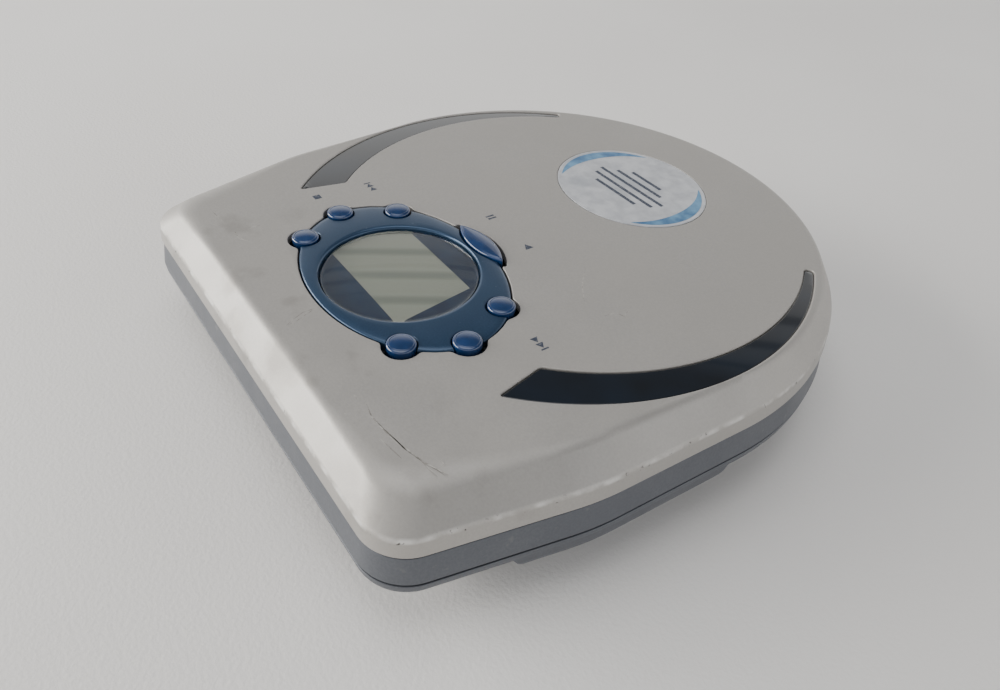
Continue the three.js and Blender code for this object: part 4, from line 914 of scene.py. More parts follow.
class PLAYER_OT_ring(bpy.types.Operator):
    """Builds the control ring with its window seat and button holes"""

    bl_idname = "player.ring"
    bl_label = "Control ring"

    def execute(self, context):
        roll = context.scene.player_sizes.ring_roll
        top = LID_HIGH.z + 0.3  # slightly proud of the lid
        ledge = 28.0  # where the ring sits on its flange
        count = 420
        outer = ellipse(RING_CENTRE, (RING_RADII[0] - 0.3, RING_RADII[1] - 0.3), count)
        inner = ellipse(WINDOW_CENTRE, (WINDOW_RADIUS, WINDOW_RADIUS), count)

        def at(share, z):
            return lifted(outer * (1 - share) + inner * share, z)

        # share of the way from the ring's outer edge to the window, and the fall below its top there
        falls = ((0, roll + 0.35), (0.02, roll + 0.1), (0.06, roll * 0.8), (0.15, roll * 0.55),
                 (0.3, roll * 0.25), (0.5, roll * 0.05), (0.7, 0), (0.9, 0), (0.95, 0.05),
                 (0.985, 0.25), (1, 0.6))
        rows = [at(0, ledge + 0.02), *(at(share, top - fall) for share, fall in falls), at(1, ledge + 0.02)]
        rounds, play = control_spots()
        holes = [ellipse(spot, (KEY_RADIUS + KEY_GAP, KEY_RADIUS + KEY_GAP), 72) for spot in rounds]
        holes.append(even(lens(play[1], PLAY_KEY[0] + 0.5, PLAY_KEY[1] + KEY_GAP, 60), 0.25, 2))
        cutters = [flared(hole, top - 0.25) for hole in holes]
        ring = carve(tube(rows, "ring"), cutters)
        finished("control_ring", ring, "ring", "lid", ["control_bezel"], angle=40)

        base = node_box("control_bezel")[0].z
        outside, within = (
            ellipse(RING_CENTRE, [r + grow for r in RING_RADII], 240) for grow in (0.6, -1.2))
        seat = tube([lifted(loop, z) for loop, z in (
            (outside, base), (outside, ledge), (within, ledge), (within, base))], "flange")
        well_top = 32
        wells = [solid_between(hole, THROUGH[0], well_top) for hole in holes]
        finished("control_ring_flange", carve(seat, wells), "black", "lid")
        return {"FINISHED"}


class PLAYER_OT_window(bpy.types.Operator):
    """Builds the clear window and its seat rim, and finishes the display under it"""

    bl_idname = "player.window"
    bl_label = "Window and display"

    def execute(self, context):
        low, high = node_box("lcd_window")
        radius = (high.x - low.x) / 2
        top = high.z - 0.15
        wall = [(radius, low.z), (radius, top - 0.3), (radius - 0.12, top - 0.1), (radius - 0.4, top)]
        crown = [(r, top + 0.3 * (1 - (r / radius) ** 2)) for r in np.linspace(radius - 0.9, 0.6, 10)]
        mesh = revolved(wall + crown, centre_of("lcd_window"), 128)
        finished("display_window", mesh, "clear", "lid", ["lcd_window"])
        mask_low, mask_high = node_box("lcd_mask")
        disc = ellipse(WINDOW_CENTRE, (WINDOW_RADIUS - 0.05, WINDOW_RADIUS - 0.05), 128)
        opening = np.array([(-11.0, 29.7), (18, 29.7), (18, 48.6), (-13.6, 48.6)])
        film = solid_between(disc, mask_high.z, mask_high.z + 0.08)
        mask = carve(film, [solid_between(opening, *THROUGH)])
        finished("display_mask", mask, "mask", "lid", ["lcd_mask"])
        round_cut = solid_between(ellipse(WINDOW_CENTRE, (GLASS_RADIUS, GLASS_RADIUS), 96), *THROUGH)
        glass = block(-14.2, GLASS_RADIUS, 28.9, 49.6, mask_low.z, mask_high.z - 0.02)
        glass = carve(glass, [round_cut], "INTERSECT")
        finished("display_glass", glass, "display", "lid", ["lcd_panel"])
        return {"FINISHED"}


def button_profile(radius, low, high, dome):
    """Profile of a key: a straight wall, a rolled shoulder, a fine rim line and a low dome."""
    shoulder = [(radius - 0.45 * (1 - math.cos(t)), high - dome - 0.5 + 0.42 * math.sin(t))
                for t in np.linspace(0, math.pi / 2, 7)]
    rim = [(radius - 0.52, high - dome - 0.03), (radius - 0.60, high - dome - 0.09)]
    cap = [(r, high - dome - 0.06 + (dome + 0.06) * (1 - (r / (radius - 0.66)) ** 2))
           for r in np.linspace(radius - 0.68, 0.15, 9)]
    return [(radius, low)] + shoulder + rim + cap


class PLAYER_OT_buttons(bpy.types.Operator):
    """Builds the six round keys and the long play key"""

    bl_idname = "player.buttons"
    bl_label = "Buttons"

    def execute(self, context):
        dome = context.scene.player_sizes.dome
        for name in ROUND_BUTTONS:
            node = "button_" + name
            low, high = node_box(node)
            mesh = revolved(button_profile(KEY_RADIUS, low.z, high.z, dome), centre_of(node), 72)
            finished("key_" + name, mesh, "button", node, [node], angle=60)
        low, high = node_box("button_play")
        play = centre_of("button_play")
        base = even(lens(play[1], *PLAY_KEY, 60), 0.22, 2)
        rings = []
        about = np.array([0.0, play[1]])
        for r, z in button_profile(KEY_RADIUS, low.z, high.z, dome):
            share = r / KEY_RADIUS
            along = 1 - (1 - share) * 0.62 if share > 0.7 else share * 1.163
            rings.append(lifted(about + (base - about) * [along, share], z))
        key = capped(rings, "play")
        finished("key_play", key, "button", "button_play", ["button_play"], angle=60)
        return {"FINISHED"}


# ------------------------------------------------------------------ badge, marks and wear


def ribbon(path, width, z, height=0.02, taper=False):
    """A thin raised line along a path, with pointed ends if tapered."""
    path = np.array(path, float)
    run = np.concatenate([[0], np.cumsum(np.linalg.norm(np.diff(path, axis=0), axis=1))])
    at = np.linspace(0, run[-1], max(3, int(run[-1] / 0.4)))
    points = np.column_stack([np.interp(at, run, path[:, i]) for i in (0, 1)])
    along = np.gradient(points, axis=0)
    along /= np.linalg.norm(along, axis=1)[:, None]
    side = np.column_stack([-along[:, 1], along[:, 0]])
    share = at / run[-1]
    swell = np.sqrt(np.clip(np.sin(np.pi * np.clip(share, 0.02, 0.98)), 0.05, 1))
    half = width / 2 * (swell if taper else np.ones(len(at)))
    left, right = points + side * half[:, None], points - side * half[:, None]
    loop = np.vstack([right, left[::-1]])
    shell = Shell()
    rims = shell.stack([lifted(loop, z - 0.05), lifted(loop, z + height)])
    n = len(points)
    for rim in rims:
        for i in range(n - 1):
            shell.faces.append((rim[i], rim[i + 1], rim[2 * n - 2 - i], rim[2 * n - 1 - i]))
    return shell.mesh("ribbon")


def plate(points, z, height=0.02):
    """A flat printed shape with a very small thickness."""
    points = np.array(points, float)
    return capped([lifted(points, z - 0.05), lifted(points, z + height)], "plate")


class PLAYER_OT_badge(bpy.types.Operator):
    """Builds the oval foil badge with its plain blue arcs"""

    bl_idname = "player.badge"
    bl_label = "Badge"

    def execute(self, context):
        low, high = node_box("lid_badge")
        middle = np.array(centre_of("lid_badge"))
        rx, ry = (high.x - low.x) / 2, (high.y - low.y) / 2
        loop = badge_loop()
        top = high.z
        rings = [lifted(loop, low.z)] + quarter(loop, top, 0.06, -1, 3)
        rings += [lifted(offset(loop, -0.7), top), lifted(offset(loop, -0.75), top - 0.02)]
        finished("badge_foil", capped(rings, "badge"), "foil", "lid", ["lid_badge"])
        arcs = []
        for start, stop in ((-60, 44), (134, 238)):
            angles = np.radians(np.linspace(start, stop, 60))
            outer = round_points(angles, middle, rx - 1.0, ry - 1.0)
            thick = 3.1 * np.sin(np.linspace(0, math.pi, 60)) ** 0.8 + 0.05
            inner = round_points(angles, middle, rx - 1.0 - thick, ry - 1.0 - thick * 0.6)
            arcs.append(plate(np.vstack([outer, inner[::-1]]), top - 0.01, 0.015))
        finished("badge_arcs", joined(arcs), "foil_ink", "lid")
        bars = []
        for y, half in ((5.4, 7.2), (2.7, 10.4), (0.0, 11.4), (-2.7, 8.0), (-5.4, 5.2)):
            ends = middle + np.array([(-half, y), (half, y)])
            bars.append(ribbon(ends, 0.95, top - 0.01, 0.015))
        finished("badge_bars", joined(bars), "ink", "lid")
        return {"FINISHED"}


def icons():
    """Plain symbols beside the keys: play, pause, stop and the two skips."""
    half, side = 1.1, 0.88
    triangle = np.array([(-side, -half), (half, 0), (-side, half)])
    bar = np.array([(-0.28, -half), (0.28, -half), (0.28, half), (-0.28, half)])
    square = np.array([(-side, -side), (side, -side), (side, side), (-side, side)])
    shapes = [triangle + (-5.9, 11), bar + (7.9, 11), bar + (8.9, 11), square + (35.9, 41.9)]
    for x, y, way in ((34.6, 28.65, 1), (-34.0, 29.0, -1)):
        for shift in (-1.5, 0.3):
            shapes.append((triangle * (way * 0.8, 0.8))[::way] + (x + shift * way, y))
        shapes.append(bar * (0.7, 0.8) + (x + 1.5 * way, y))
    return shapes


SCUFFS = (
    (((-4.7, 67.3), (-3.7, 65.6), (-2.5, 62.9), (-2.6, 60.4), (-3.5, 62.9), (-4.5, 65.4),
      (-4.6, 67.0)), 0.22),
    (((-31.1, 64.3), (-34.2, 65.0), (-38.9, 64.6), (-43.3, 63.8), (-47.6, 62.6), (-51.7, 60.8)), 0.34),
    (((-32.8, 64.9), (-36.4, 64.7), (-44.0, 63.8), (-46.7, 63.0), (-51.1, 62.4)), 0.2),
    (((-39.2, 66.2), (-41.8, 65.8), (-45.1, 65.3)), 0.25),
    (((-48.6, 60.1), (-49.7, 60.3)), 0.2),
    (((-27.8, 65.0), (-29.4, 65.2)), 0.22),
    (((-31.1, 68.8), (-31.2, 68.2)), 0.2),
    (((31.4, 63.7), (28.0, 63.8), (26.2, 62.8)), 0.3),
    (((31.0, 60.9), (30.7, 58.1)), 0.26),
    (((41.9, 65.0), (35.4, 64.4)), 0.28),
    (((-18.8, 4.9), (-23.0, 9.4), (-28.1, 13.1)), 0.16),
    (((-33.7, 12.9), (-33.9, 11.0), (-34.2, 9.7), (-35.9, 9.2), (-34.1, 5.4)), 0.18),
)


class PLAYER_OT_marks(bpy.types.Operator):
    """Prints the plain symbols on the lid and adds its scratches"""

    bl_idname = "player.marks"
    bl_label = "Symbols and scratches"

    def execute(self, context):
        top = LID_HIGH.z
        prints = [plate(shape, top, 0.012) for shape in icons()]
        finished("printed_symbols", joined(prints), "ink", "lid")
        scuffs = [ribbon(path, width, top - 0.002, 0.006, taper=True) for path, width in SCUFFS]
        finished("lid_scratches", joined(scuffs), "scuff", "lid")
        return {"FINISHED"}


# ------------------------------------------------------------------ case


COVE_POINTS = 72


def hinge_cove():
    """Room for the lid's rear edge to swing, turned about the hinge's axis."""
    y, z = HINGE_AXIS
    outline = plan(CASE)
    rear = outline[(outline[:, 0] > 0) & (outline[:, 1] > y + 0.3)]
    rear = rear[np.argsort(-rear[:, 0])]
    widths = np.concatenate([rear[:, 0], -rear[::-1, 0]])
    reaches = np.concatenate([rear[:, 1], rear[::-1, 1]]) - y
    angles = np.linspace(0, math.tau, COVE_POINTS, endpoint=False)
    rings = []
    for x, reach in zip(widths, reaches):
        radius = math.hypot(reach, z - round(LID_EDGE_Z, 3)) + 0.25
        rings.append(np.column_stack([np.full(COVE_POINTS, x), round_points(angles, (y, z), radius)]))
    return capped(rings, "cove")


class PLAYER_OT_band(bpy.types.Operator):
    """Builds the painted middle band with its openings, and black lips behind its two seams that stand in for
    the shade inside them
    """

    bl_idname = "player.band"
    bl_label = "Middle band"

    def execute(self, context):
        low, high = BAND_LOW.z, BAND_HIGH.z - 0.28
        rings = outlines((CASE, 2.1, low + 0.15), (CASE, -0.6, low + 0.15), (CASE, 0.4, high),
                         (CASE, 2.1, high))
        rings = soften(rings, 2, 0.25, 0.2, 4)
        rings = soften(rings, 1, 0.22, 0.22, 3)
        band = tube(rings, "band")
        cutters = [hinge_cove()]
        for node in ("headphone_jack", "line_out_jack", "dc_in_jack"):
            cutters.append(rod_along_x(40, 75, centre_of(node)[1], JACK_HEIGHT, 2.5))
        wheel = centre_of("volume_wheel")[1]
        hold = centre_of("hold_switch")[1]
        cutters.append(block(55, 75, wheel - 7, wheel + 7, 14.65, 17.35))
        cutters.append(block(55, 75, hold - 4.1, hold + 4.1, 15.4, 17.6))
        cutters.append(block(-8.3, 8.3, -71, -58, 14.9, 17.5))
        band = carve(band, cutters)
        finished("case_band", band, "gunmetal", "base", ["mid_case"])

        shade_lips = []
        # one black lip behind the seam under the band, one behind the seam under the lid: painted shade, dark
        # sheets where the seams have only shadow
        for outer, bottom, top in ((0.55, low - 0.5, low + 0.4), (0.9, high - 0.3, high + 0.4)):
            rims = outlines((CASE, outer, bottom), (CASE, outer, top), (CASE, 1.95, top),
                            (CASE, 1.95, bottom))
            shade_lips.append(carve(tube(rims, "lip"), [hinge_cove()]))
        finished("seam_lips", joined(shade_lips), "black", "base")
        return {"FINISHED"}


JACK_HEIGHT = 17.4
CELL_Y = 30.2
BULGE = {"front": 7.0, "rear": 51.5, "side_z": 10.0}


def rounded(profile, corners, radius):
    """A profile with some of its corners rounded."""
    points = []
    for i, point in enumerate(profile):
        if i not in corners:
            points.append(point)
            continue
        before, after = profile[i - 1], profile[(i + 1) % len(profile)]
        a = point + (before - point) / np.linalg.norm(before - point) * radius
        c = point + (after - point) / np.linalg.norm(after - point) * radius
        points.extend(curve_between(a, point, c, 5))
    return np.array(points)


def bulge_mesh(wall):
    """The battery bulge on the user's left, or the room inside it, with rounded ridges."""
    belly, top, seam = COVER_LOW.z, COVER_HIGH.z, BAND_LOW.z
    z_side = BULGE["side_z"]
    ends = np.array([
        (BULGE["front"] - 5 + wall, seam + 3), (BULGE["front"] - 1 + wall, z_side + 1),
        (BULGE["front"] + 1 + wall, z_side - 0.6), (BULGE["front"] + 5 + wall * 0.6, belly + wall),
        (BULGE["rear"] - 5 - wall * 0.6, belly + wall), (BULGE["rear"] - 1 - wall, z_side - 0.6),
        (BULGE["rear"] + 1 - wall, z_side + 1), (BULGE["rear"] + 5 - wall, seam + 3)])
    along = along_x(rounded(ends, (3, 4), 2.6), -FRONT_RADIUS - 14, -2 - wall)
    over = top + (1 if wall else -0.2)
    rings = outlines((CASE, wall + 7.8 - 3, belly + wall), (CASE, wall + 7.7, belly + wall),
                     (CASE, wall - 0.3, z_side + wall * 0.4), (CASE, wall - 0.3, over))
    rings = soften(rings, 2, 1.2, 1.2, 5)[1:]
    return carve(along, [capped(rings, "limit")], "INTERSECT")


def pan_mesh(wall):
    """The bottom pan as a solid, or the room inside it."""
    belly, top = COVER_LOW.z, COVER_HIGH.z
    rim = top + (1 if wall else -0.2)
    rings = outlines(
        (BELLY, 4 + wall * 0.5, belly + wall), (BELLY, wall * 0.5, belly + wall),
        (CASE, 0.7 + wall, 10.8 + wall * 0.3), (CASE, wall - 0.3, 12.2), (CASE, wall - 0.5, rim),
        (CASE, wall + 1.0, rim))
    if not wall:
        rings = soften(rings, 4, 0.25, 0.25, 3)
        rings = soften(rings, 3, 0.5, 0.7, 4)
    rings = soften(rings, 2, 2.5, 0.7, 5)
    return capped(soften(rings, 1, 2.0, 2.5, 5), "pan")


def spots_of(*nodes):
    """Plan centres of several nodes."""
    return [centre_of(node) for node in nodes]


SCREWS = ("screw_1", "screw_2", "screw_3", "screw_4")
FEET = ("foot_1", "foot_2", "foot_3", "foot_4")
DAMPERS = ("damper_1", "damper_2", "damper_3")


class PLAYER_OT_bottom(bpy.types.Operator):
    """Builds the bottom pan with its battery bulge, bay and screw bosses"""

    bl_idname = "player.bottom"
    bl_label = "Bottom pan"

    def execute(self, context):
        pan = carve(pan_mesh(0), [bulge_mesh(0)], "UNION")
        pan = carve(pan, [pan_mesh(1.5), bulge_mesh(1.5)])
        cutters = [block(-90, -7.25, CELL_Y - 15.75, CELL_Y + 15.75, -0.5, 2.8)]
        cutters += [revolved([(2.9, -1), (2.9, 4.2)], spot, 40) for spot in spots_of(*SCREWS)]
        pan = carve(pan, cutters)
        finished("bottom_pan", pan, "gunmetal", "base", ["bottom_cover"], angle=28)
        sleeve = [(1.3, 4.2), (2.9, 4.2), (2.9, 2.9), (3.4, 2.9), (3.4, 14.05), (1.3, 14.05)]
        bosses = [tube(round_rings(sleeve, spot, 36), "boss") for spot in spots_of(*SCREWS)]
        post = [(2.6, 2.9), (2.6, 13.9), (2.4, 14.05)]
        bosses += [revolved(post, spot, 36) for spot in spots_of(*DAMPERS)]
        finished("cover_bosses", joined(bosses), "black", "base")
        y0, y1 = CELL_Y - 15.7, CELL_Y + 15.7
        walls = [block(-54, -1.3, y0 - 1.2, y0, 2.9, 12), block(-54, -1.3, y1, y1 + 1.2, 2.9, 12),
                 block(-1.3, -0.1, y0 - 1.2, y1 + 1.2, 2.9, 12)]
        finished("battery_bay_walls", joined(walls), "black", "base")
        return {"FINISHED"}


# ------------------------------------------------------------------ repeated fittings


def pattern_tree(name, radial):
    """A tree that repeats a piece: at the input's points, or `Count` times round a circle."""
    tree = bpy.data.node_groups.new(name, "GeometryNodeTree")
    sockets = [("Geometry", "INPUT", "Geometry"), ("Piece", "INPUT", "Object"),
               ("Finish", "INPUT", "Material")]
    if radial:
        sockets += [("Count", "INPUT", "Int"), ("Centre", "INPUT", "Vector")]
    for label, way, kind in (*sockets, ("Geometry", "OUTPUT", "Geometry")):
        tree.interface.new_socket(label, in_out=way, socket_type="NodeSocket" + kind)
    given = tree.nodes.new("NodeGroupInput").outputs
    piece = add(tree, "GeometryNodeObjectInfo", {"Object": given["Piece"]}).outputs["Geometry"]
    if radial:
        circle = add(tree, "GeometryNodeMeshCircle", {"Vertices": given["Count"], "Radius": 0.001})
        index = add(tree, "GeometryNodeInputIndex").outputs[0]
        share = add(tree, "ShaderNodeMath", {0: index, 1: given["Count"]}, operation="DIVIDE").outputs[0]
        turn = add(tree, "ShaderNodeMath", {0: share, 1: math.tau}, operation="MULTIPLY").outputs[0]
        rotation = add(tree, "ShaderNodeCombineXYZ", {"Z": turn}).outputs[0]
        flat = add(tree, "GeometryNodeSetPosition", {
            "Geometry": circle.outputs["Mesh"], "Position": (0, 0, 0)})
        copies = add(tree, "GeometryNodeInstanceOnPoints", {
            "Points": flat.outputs["Geometry"], "Instance": piece, "Rotation": rotation})
        moved = add(tree, "GeometryNodeTransform", {
            "Geometry": copies.outputs["Instances"], "Translation": given["Centre"]})
        both = add(tree, "GeometryNodeJoinGeometry")
        tree.links.new(moved.outputs["Geometry"], both.inputs[0])
        tree.links.new(given["Geometry"], both.inputs[0])
        result = both.outputs[0]
    else:
        result = add(tree, "GeometryNodeInstanceOnPoints", {
            "Points": given["Geometry"], "Instance": piece}).outputs["Instances"]
    real = add(tree, "GeometryNodeRealizeInstances", {"Geometry": result})
    painted = add(tree, "GeometryNodeSetMaterial", {
        "Geometry": real.outputs["Geometry"], "Material": given["Finish"]})
    out = tree.nodes.new("NodeGroupOutput")
    tree.links.new(painted.outputs["Geometry"], out.inputs["Geometry"])
    return tree


def patterned(name, base, piece, key, count=None, centre=None):
    """Runs a pattern tree on a base mesh and returns the plain mesh."""
    tree = pattern_tree(name + "_tree", count is not None)
    carrier, single = placed("carrier", base), placed("single", piece)
    values = {"Piece": single, "Finish": FINISHES[key]}
    if count is not None:
        values["Count"] = count
        values["Centre"] = centre
    step = carrier.modifiers.new(name, "NODES")
    step.node_group = tree
    for item in tree.interface.items_tree:
        if item.item_type == "SOCKET" and item.in_out == "INPUT" and item.name in values:
            step[item.identifier] = values[item.name]
    bpy.context.view_layer.update()
    mesh = applied(carrier)
    bpy.data.objects.remove(single)
    return mesh


def points_mesh(spots):
    """Loose points, in metres in the row frame."""
    mesh = bpy.data.meshes.new("points")
    mesh.from_pydata([(x * MM, (y + DISC_Y) * MM, 0.0) for x, y in spots], [], [])
    return mesh


def local(mesh):
    """A mesh drawn about the disc axis, moved to the origin for repeating."""
    mesh.transform(Matrix.Translation((0, -DISC_Y * MM, 0)))
    return mesh


class PLAYER_OT_fixings(bpy.types.Operator):
    """Repeats the cross-head screws and the rubber feet at their places"""

    bl_idname = "player.fixings"
    bl_label = "Screws and feet"

    def execute(self, context):
        low, high = node_box("screw_1")
        head = [(1.9, low.z), (2.3, low.z + 0.15), (2.55, low.z + 0.5), (2.6, low.z + 1.1),
                (1.05, low.z + 1.8), (1.05, high.z - 0.6), (0.3, high.z)]
        screw = revolved(head, (0, 0), 40)
        depth = low.z + 0.8
        recess = [block(-1.35, 1.35, -0.28, 0.28, 0, depth), block(-0.28, 0.28, -1.35, 1.35, 0, depth)]
        screw = local(carve(screw, recess))
        mesh = patterned("screws", points_mesh(spots_of(*SCREWS)), screw, "steel")
        finished("case_screws", mesh, "steel", "base", SCREWS)
        low, high = node_box("foot_1")
        foot = [(3.7, low.z), (4.15, low.z + 0.08), (4.42, low.z + 0.32), (4.5, low.z + 0.7), (4.5, high.z)]
        dish = [(r, z) for r, z in ((0.3, low.z + 0.12), (3.2, low.z + 0.12), (3.5, low.z))]
        pad = local(revolved(dish + foot, (0, 0), 48))
        mesh = patterned("feet", points_mesh(spots_of(*FEET)), pad, "rubber")
        finished("rubber_feet", mesh, "rubber", "base", FEET)
        return {"FINISHED"}


class PLAYER_OT_wheel(bpy.types.Operator):
    """Builds the ridged volume wheel"""

    bl_idname = "player.wheel"
    bl_label = "Volume wheel"

    def execute(self, context):
        low, high = node_box("volume_wheel")
        spot = centre_of("volume_wheel")
        radius = (high.x - low.x) / 2 - 0.3
        z0, z1 = 15.0, high.z
        body = revolved([(2.0, low.z), (2.0, z0), (radius - 0.3, z0), (radius, z0 + 0.3), (radius, z1 - 0.3),
                         (radius - 0.3, z1)], spot, 120)
        r0, r1 = radius - 0.2, radius + 0.28
        section = np.array([(r0, -0.42), (r1 - 0.12, -0.3), (r1, -0.1), (r1, 0.1), (r1 - 0.12, 0.3),
                            (r0, 0.42)])
        ridge = solid_between(section, z0 + 0.2, z1 - 0.2)
        mesh = patterned("wheel_ridges", body, local(ridge), "black",
                         count=context.scene.player_sizes.wheel_ridges,
                         centre=(spot[0] * MM, (spot[1] + DISC_Y) * MM, 0.0))
        finished("volume_thumbwheel", mesh, "black", "volume_wheel", ["volume_wheel"])
        return {"FINISHED"}


class PLAYER_OT_turntable(bpy.types.Operator):
    """Builds the turntable's hub with its sprung balls, and its rubber mat"""

    bl_idname = "player.turntable"
    bl_label = "Turntable"

    def execute(self, context):
        low, high = node_box("turntable_hub")
        top = high.z
        # the bore, the plate, the seat for the mat, and the boss that enters the disc's hole
        profile = [(0.75, low.z), (0.75, 19.2), (15.0, 19.2), (15.0, 20.9), (14.8, 21.2), (9.4, 21.2),
                   (9.4, 21.6), (7.35, 21.6), (7.35, top - 1.1), (7.1, top - 0.5), (6.5, top - 0.1),
                   (6.1, top), (3.4, top), (3.1, top - 0.15), (2.6, top - 0.6), (0.4, top - 0.6)]
        mesh = revolved(profile, (0, 0), 120)
        balls = []
        for angle in (90, 210, 330):
            x, y = 6.8 * math.cos(math.radians(angle)), 6.8 * math.sin(math.radians(angle))
            arc_points = round_points(np.linspace(-1.5, 1.5, 12), (0.0, top - 1.0), 0.88)
            balls.append(revolved(arc_points, (x, y), 20))
        hub = joined([mesh, *balls])
        finished("turntable_hub_turned", hub, "acetal", "turntable", ["turntable_hub"])
        low, high = node_box("turntable_mat")
        outer = (high.x - low.x) / 2
        section = [(outer, low.z), (outer, high.z - 0.08), (outer - 0.1, high.z), (12.4, high.z),
                   (12.3, high.z - 0.1), (11.9, high.z - 0.1), (11.8, high.z), (9.7, high.z),
                   (9.6, high.z - 0.08), (9.6, low.z)]
        mat = tube(round_rings(section, (0, 0), 120), "mat")
        finished("turntable_ring_mat", mat, "rubber", "turntable", ["turntable_mat"])
        return {"FINISHED"}


SOFTENED = (
    ("open_button", "gunmetal", 0.35), ("hold_switch", "black", 0.2), ("battery_door", "gunmetal", 0.2),
    ("latch_hook", "black", 0.15), ("lid_liner", "black", 0.2), ("well_tray", "black", 0.25),
    ("pickup_sled", "black", 0.15), ("mech_chassis", "zinc", 0.12), ("headphone_jack", "black", 0.12),
    ("line_out_jack", "black", 0.12), ("dc_in_jack", "black", 0.12), ("signal_chip", "black", 0.12),
    ("spindle_motor", "zinc", 0.2), ("sled_motor", "zinc", 0.2),
)
CARRIED = {
    "display_board": "board", "hinge_pin_left": "steel",
    "hinge_pin_right": "steel", "main_board": "board", "guide_rod_left": "steel", "guide_rod_right": "steel",
    "feed_gear": "acetal", "motor_pinion": "acetal", "damper_1": "rubber", "damper_2": "rubber",
    "damper_3": "rubber", "aa_cell_1": "sleeve", "aa_cell_2": "sleeve", "battery_contact_outer": "steel",
    "battery_contact_inner": "steel", "pickup_lens": "clear",
}


class PLAYER_OT_fittings(bpy.types.Operator):
    """Rounds the switches, jacks and mechanism, and finishes the parts kept as they are"""

    bl_idname = "player.fittings"
    bl_label = "Fittings and mechanism"

    def execute(self, context):
        for node, key, width in SOFTENED:
            softened(node, key, width)
        for node, key in CARRIED.items():
            materials = frame["nodes"][node].data.materials
            materials.clear()
            materials.append(FINISHES[key])
        return {"FINISHED"}


# ------------------------------------------------------------------ stage


def tabletop():
    """Painted tabletop: off-white with a very fine sprayed grain and a few specks."""
    material, tree, place = new_finish("sprayed_tabletop", Roughness=0.55)
    tone = layered(
        tree, "#EBE8E5", (noise_at(tree, place, 160.0, detail=2.0), 1, "#F0EEEB"),
        (noise_at(tree, place, 1.6, detail=2.0, low=0.80, high=0.83), 0.5, "#8C857C"))
    return coated(material, tone, None, noise_at(tree, place, 0.9, detail=2.0, low=0.3, high=0.7), 0.35, 0.10)


def area_light(name, at, towards, size, power, colour=(1, 1, 1)):
    """A soft rectangular light aimed at a point."""
    data = bpy.data.lights.new(name, "AREA")
    data.shape, data.energy, data.color = "RECTANGLE", power, colour
    data.size, data.size_y = size
    lamp = placed(name, data)
    lamp.location = at
    lamp.rotation_euler = (Vector(towards) - Vector(at)).to_track_quat("-Z", "Y").to_euler()


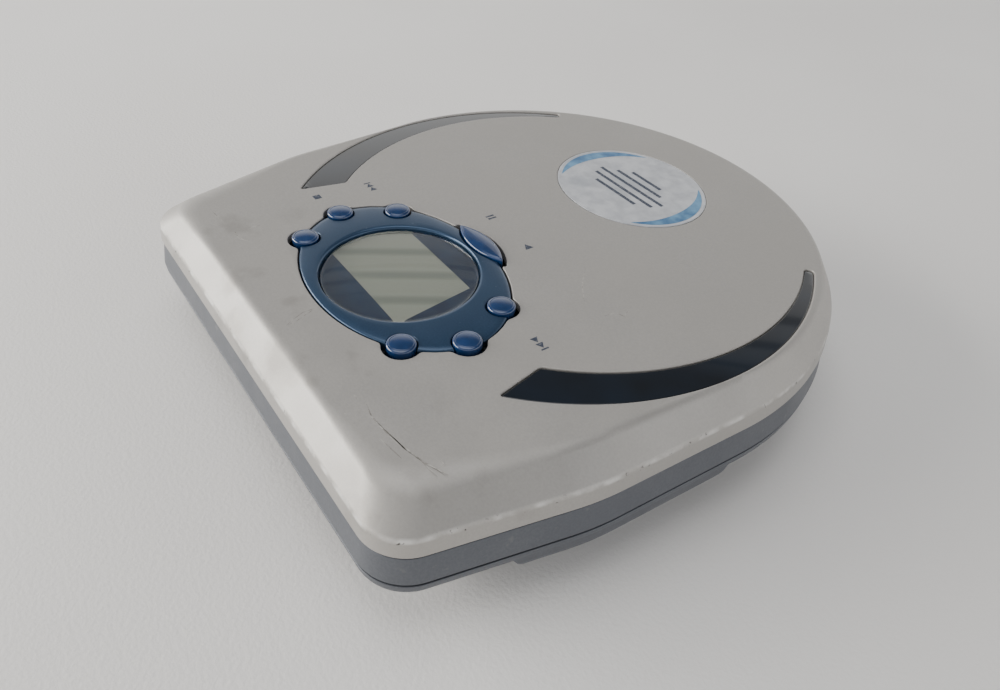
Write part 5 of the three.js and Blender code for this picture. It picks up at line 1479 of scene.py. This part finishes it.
class PLAYER_OT_stage(bpy.types.Operator):
    """Sets the tabletop, the soft lights, the surroundings and the camera"""

    bl_idname = "player.stage"
    bl_label = "Stage"

    def execute(self, context):
        scene = context.scene
        mesh = bpy.data.meshes.new("tabletop")
        mesh.from_pydata([(-3, -3, 0), (3, -3, 0), (3, 3, 0), (-3, 3, 0)], [], [(0, 1, 2, 3)])
        mesh.materials.append(tabletop())
        placed("tabletop", mesh)

        world = bpy.data.worlds.new("soft_room")
        world.use_nodes = True
        tree = world.node_tree
        tree.nodes.clear()
        place = add(tree, "ShaderNodeTexCoord").outputs["Generated"]
        height = add(tree, "ShaderNodeSeparateXYZ", {"Vector": place}).outputs["Z"]
        share = add(tree, "ShaderNodeMapRange", {
            "Value": height, "From Min": 0.38, "From Max": 0.64}).outputs["Result"]
        # blinds across the far side of the room, which the display's window mirrors
        slats = [(band_between(tree, height, start, start + 0.004, end - 0.004, end), 0.75, "#4A4C50")
                 for start, end in ((0.556, 0.570), (0.587, 0.600), (0.617, 0.626))]
        tone = layered(tree, "#FFFEFC", (share, 1, "#64666A"), *slats)
        back = add(tree, "ShaderNodeBackground", {"Color": tone, "Strength": 1.2})
        add(tree, "ShaderNodeOutputWorld", {"Surface": back.outputs[0]})
        scene.world = world

        area_light("rear_window", (0.75, 0.95, 0.38), (0, 0, 0.02), (1.3, 0.7), 24.0, linear("#FFFDF8"))
        area_light("overhead", (0.1, 0.1, 1.3), (0, 0, 0.02), (1.0, 1.0), 6.5)
        area_light("left_fill", (-1.1, -0.5, 0.5), (0, 0, 0.02), (0.8, 0.6), 1.5, linear("#EEF3FB"))

        camera = bpy.data.cameras.new("camera")
        camera.lens, camera.sensor_width, camera.clip_start = 28.0013, 36.0, 0.01
        view = placed("camera", camera)
        right = Vector((-0.57587096, -0.81502436, 0.06409316))
        down = Vector((-0.55934412, 0.33560974, -0.75795795))
        forward = Vector((0.5962439, -0.47233611, -0.64914698))
        turn = Matrix((right, -down, -forward)).transposed()
        view.matrix_world = Matrix.Translation((-0.11783442, 0.10031855, 0.1253969)) @ turn.to_4x4()
        scene.camera = view
        return {"FINISHED"}


# ------------------------------------------------------------------ panel and run


class PLAYER_OT_finishes(bpy.types.Operator):
    """Makes every paint, plastic and metal once, from the chosen colours"""

    bl_idname = "player.finishes"
    bl_label = "Finishes"

    def execute(self, context):
        make_finishes(context.scene.player_colours)
        return {"FINISHED"}


OPERATORS = (
    PLAYER_OT_finishes, PLAYER_OT_lid, PLAYER_OT_inlays, PLAYER_OT_ring, PLAYER_OT_window, PLAYER_OT_buttons,
    PLAYER_OT_badge, PLAYER_OT_marks, PLAYER_OT_band, PLAYER_OT_bottom, PLAYER_OT_fixings, PLAYER_OT_wheel,
    PLAYER_OT_turntable, PLAYER_OT_fittings, PLAYER_OT_stage,
)


class PLAYER_PT_panel(bpy.types.Panel):
    """Lists the steps and the sizes and colours they use"""

    bl_idname = "PLAYER_PT_panel"
    bl_label = "Disc Player"
    bl_space_type = "VIEW_3D"
    bl_region_type = "UI"
    bl_category = "Disc Player"

    def draw(self, context):
        for group in (context.scene.player_sizes, context.scene.player_colours):
            for name in group.bl_rna.properties.keys():
                if name not in ("rna_type", "name"):
                    self.layout.prop(group, name)
        for operator in OPERATORS:
            self.layout.operator(operator.bl_idname)


CLASSES = (PlayerSizes, PlayerColours, *OPERATORS, PLAYER_PT_panel)


def register():
    for made in CLASSES:
        bpy.utils.register_class(made)
    bpy.types.Scene.player_sizes = bpy.props.PointerProperty(type=PlayerSizes)
    bpy.types.Scene.player_colours = bpy.props.PointerProperty(type=PlayerColours)


def unregister():
    del bpy.types.Scene.player_colours
    del bpy.types.Scene.player_sizes
    for made in reversed(CLASSES):
        bpy.utils.unregister_class(made)


def main():
    """Registers the add-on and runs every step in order."""
    register()
    for operator in OPERATORS:
        group, step = operator.bl_idname.split(".")
        getattr(getattr(bpy.ops, group), step)()


if __name__ == "__main__":
    main()
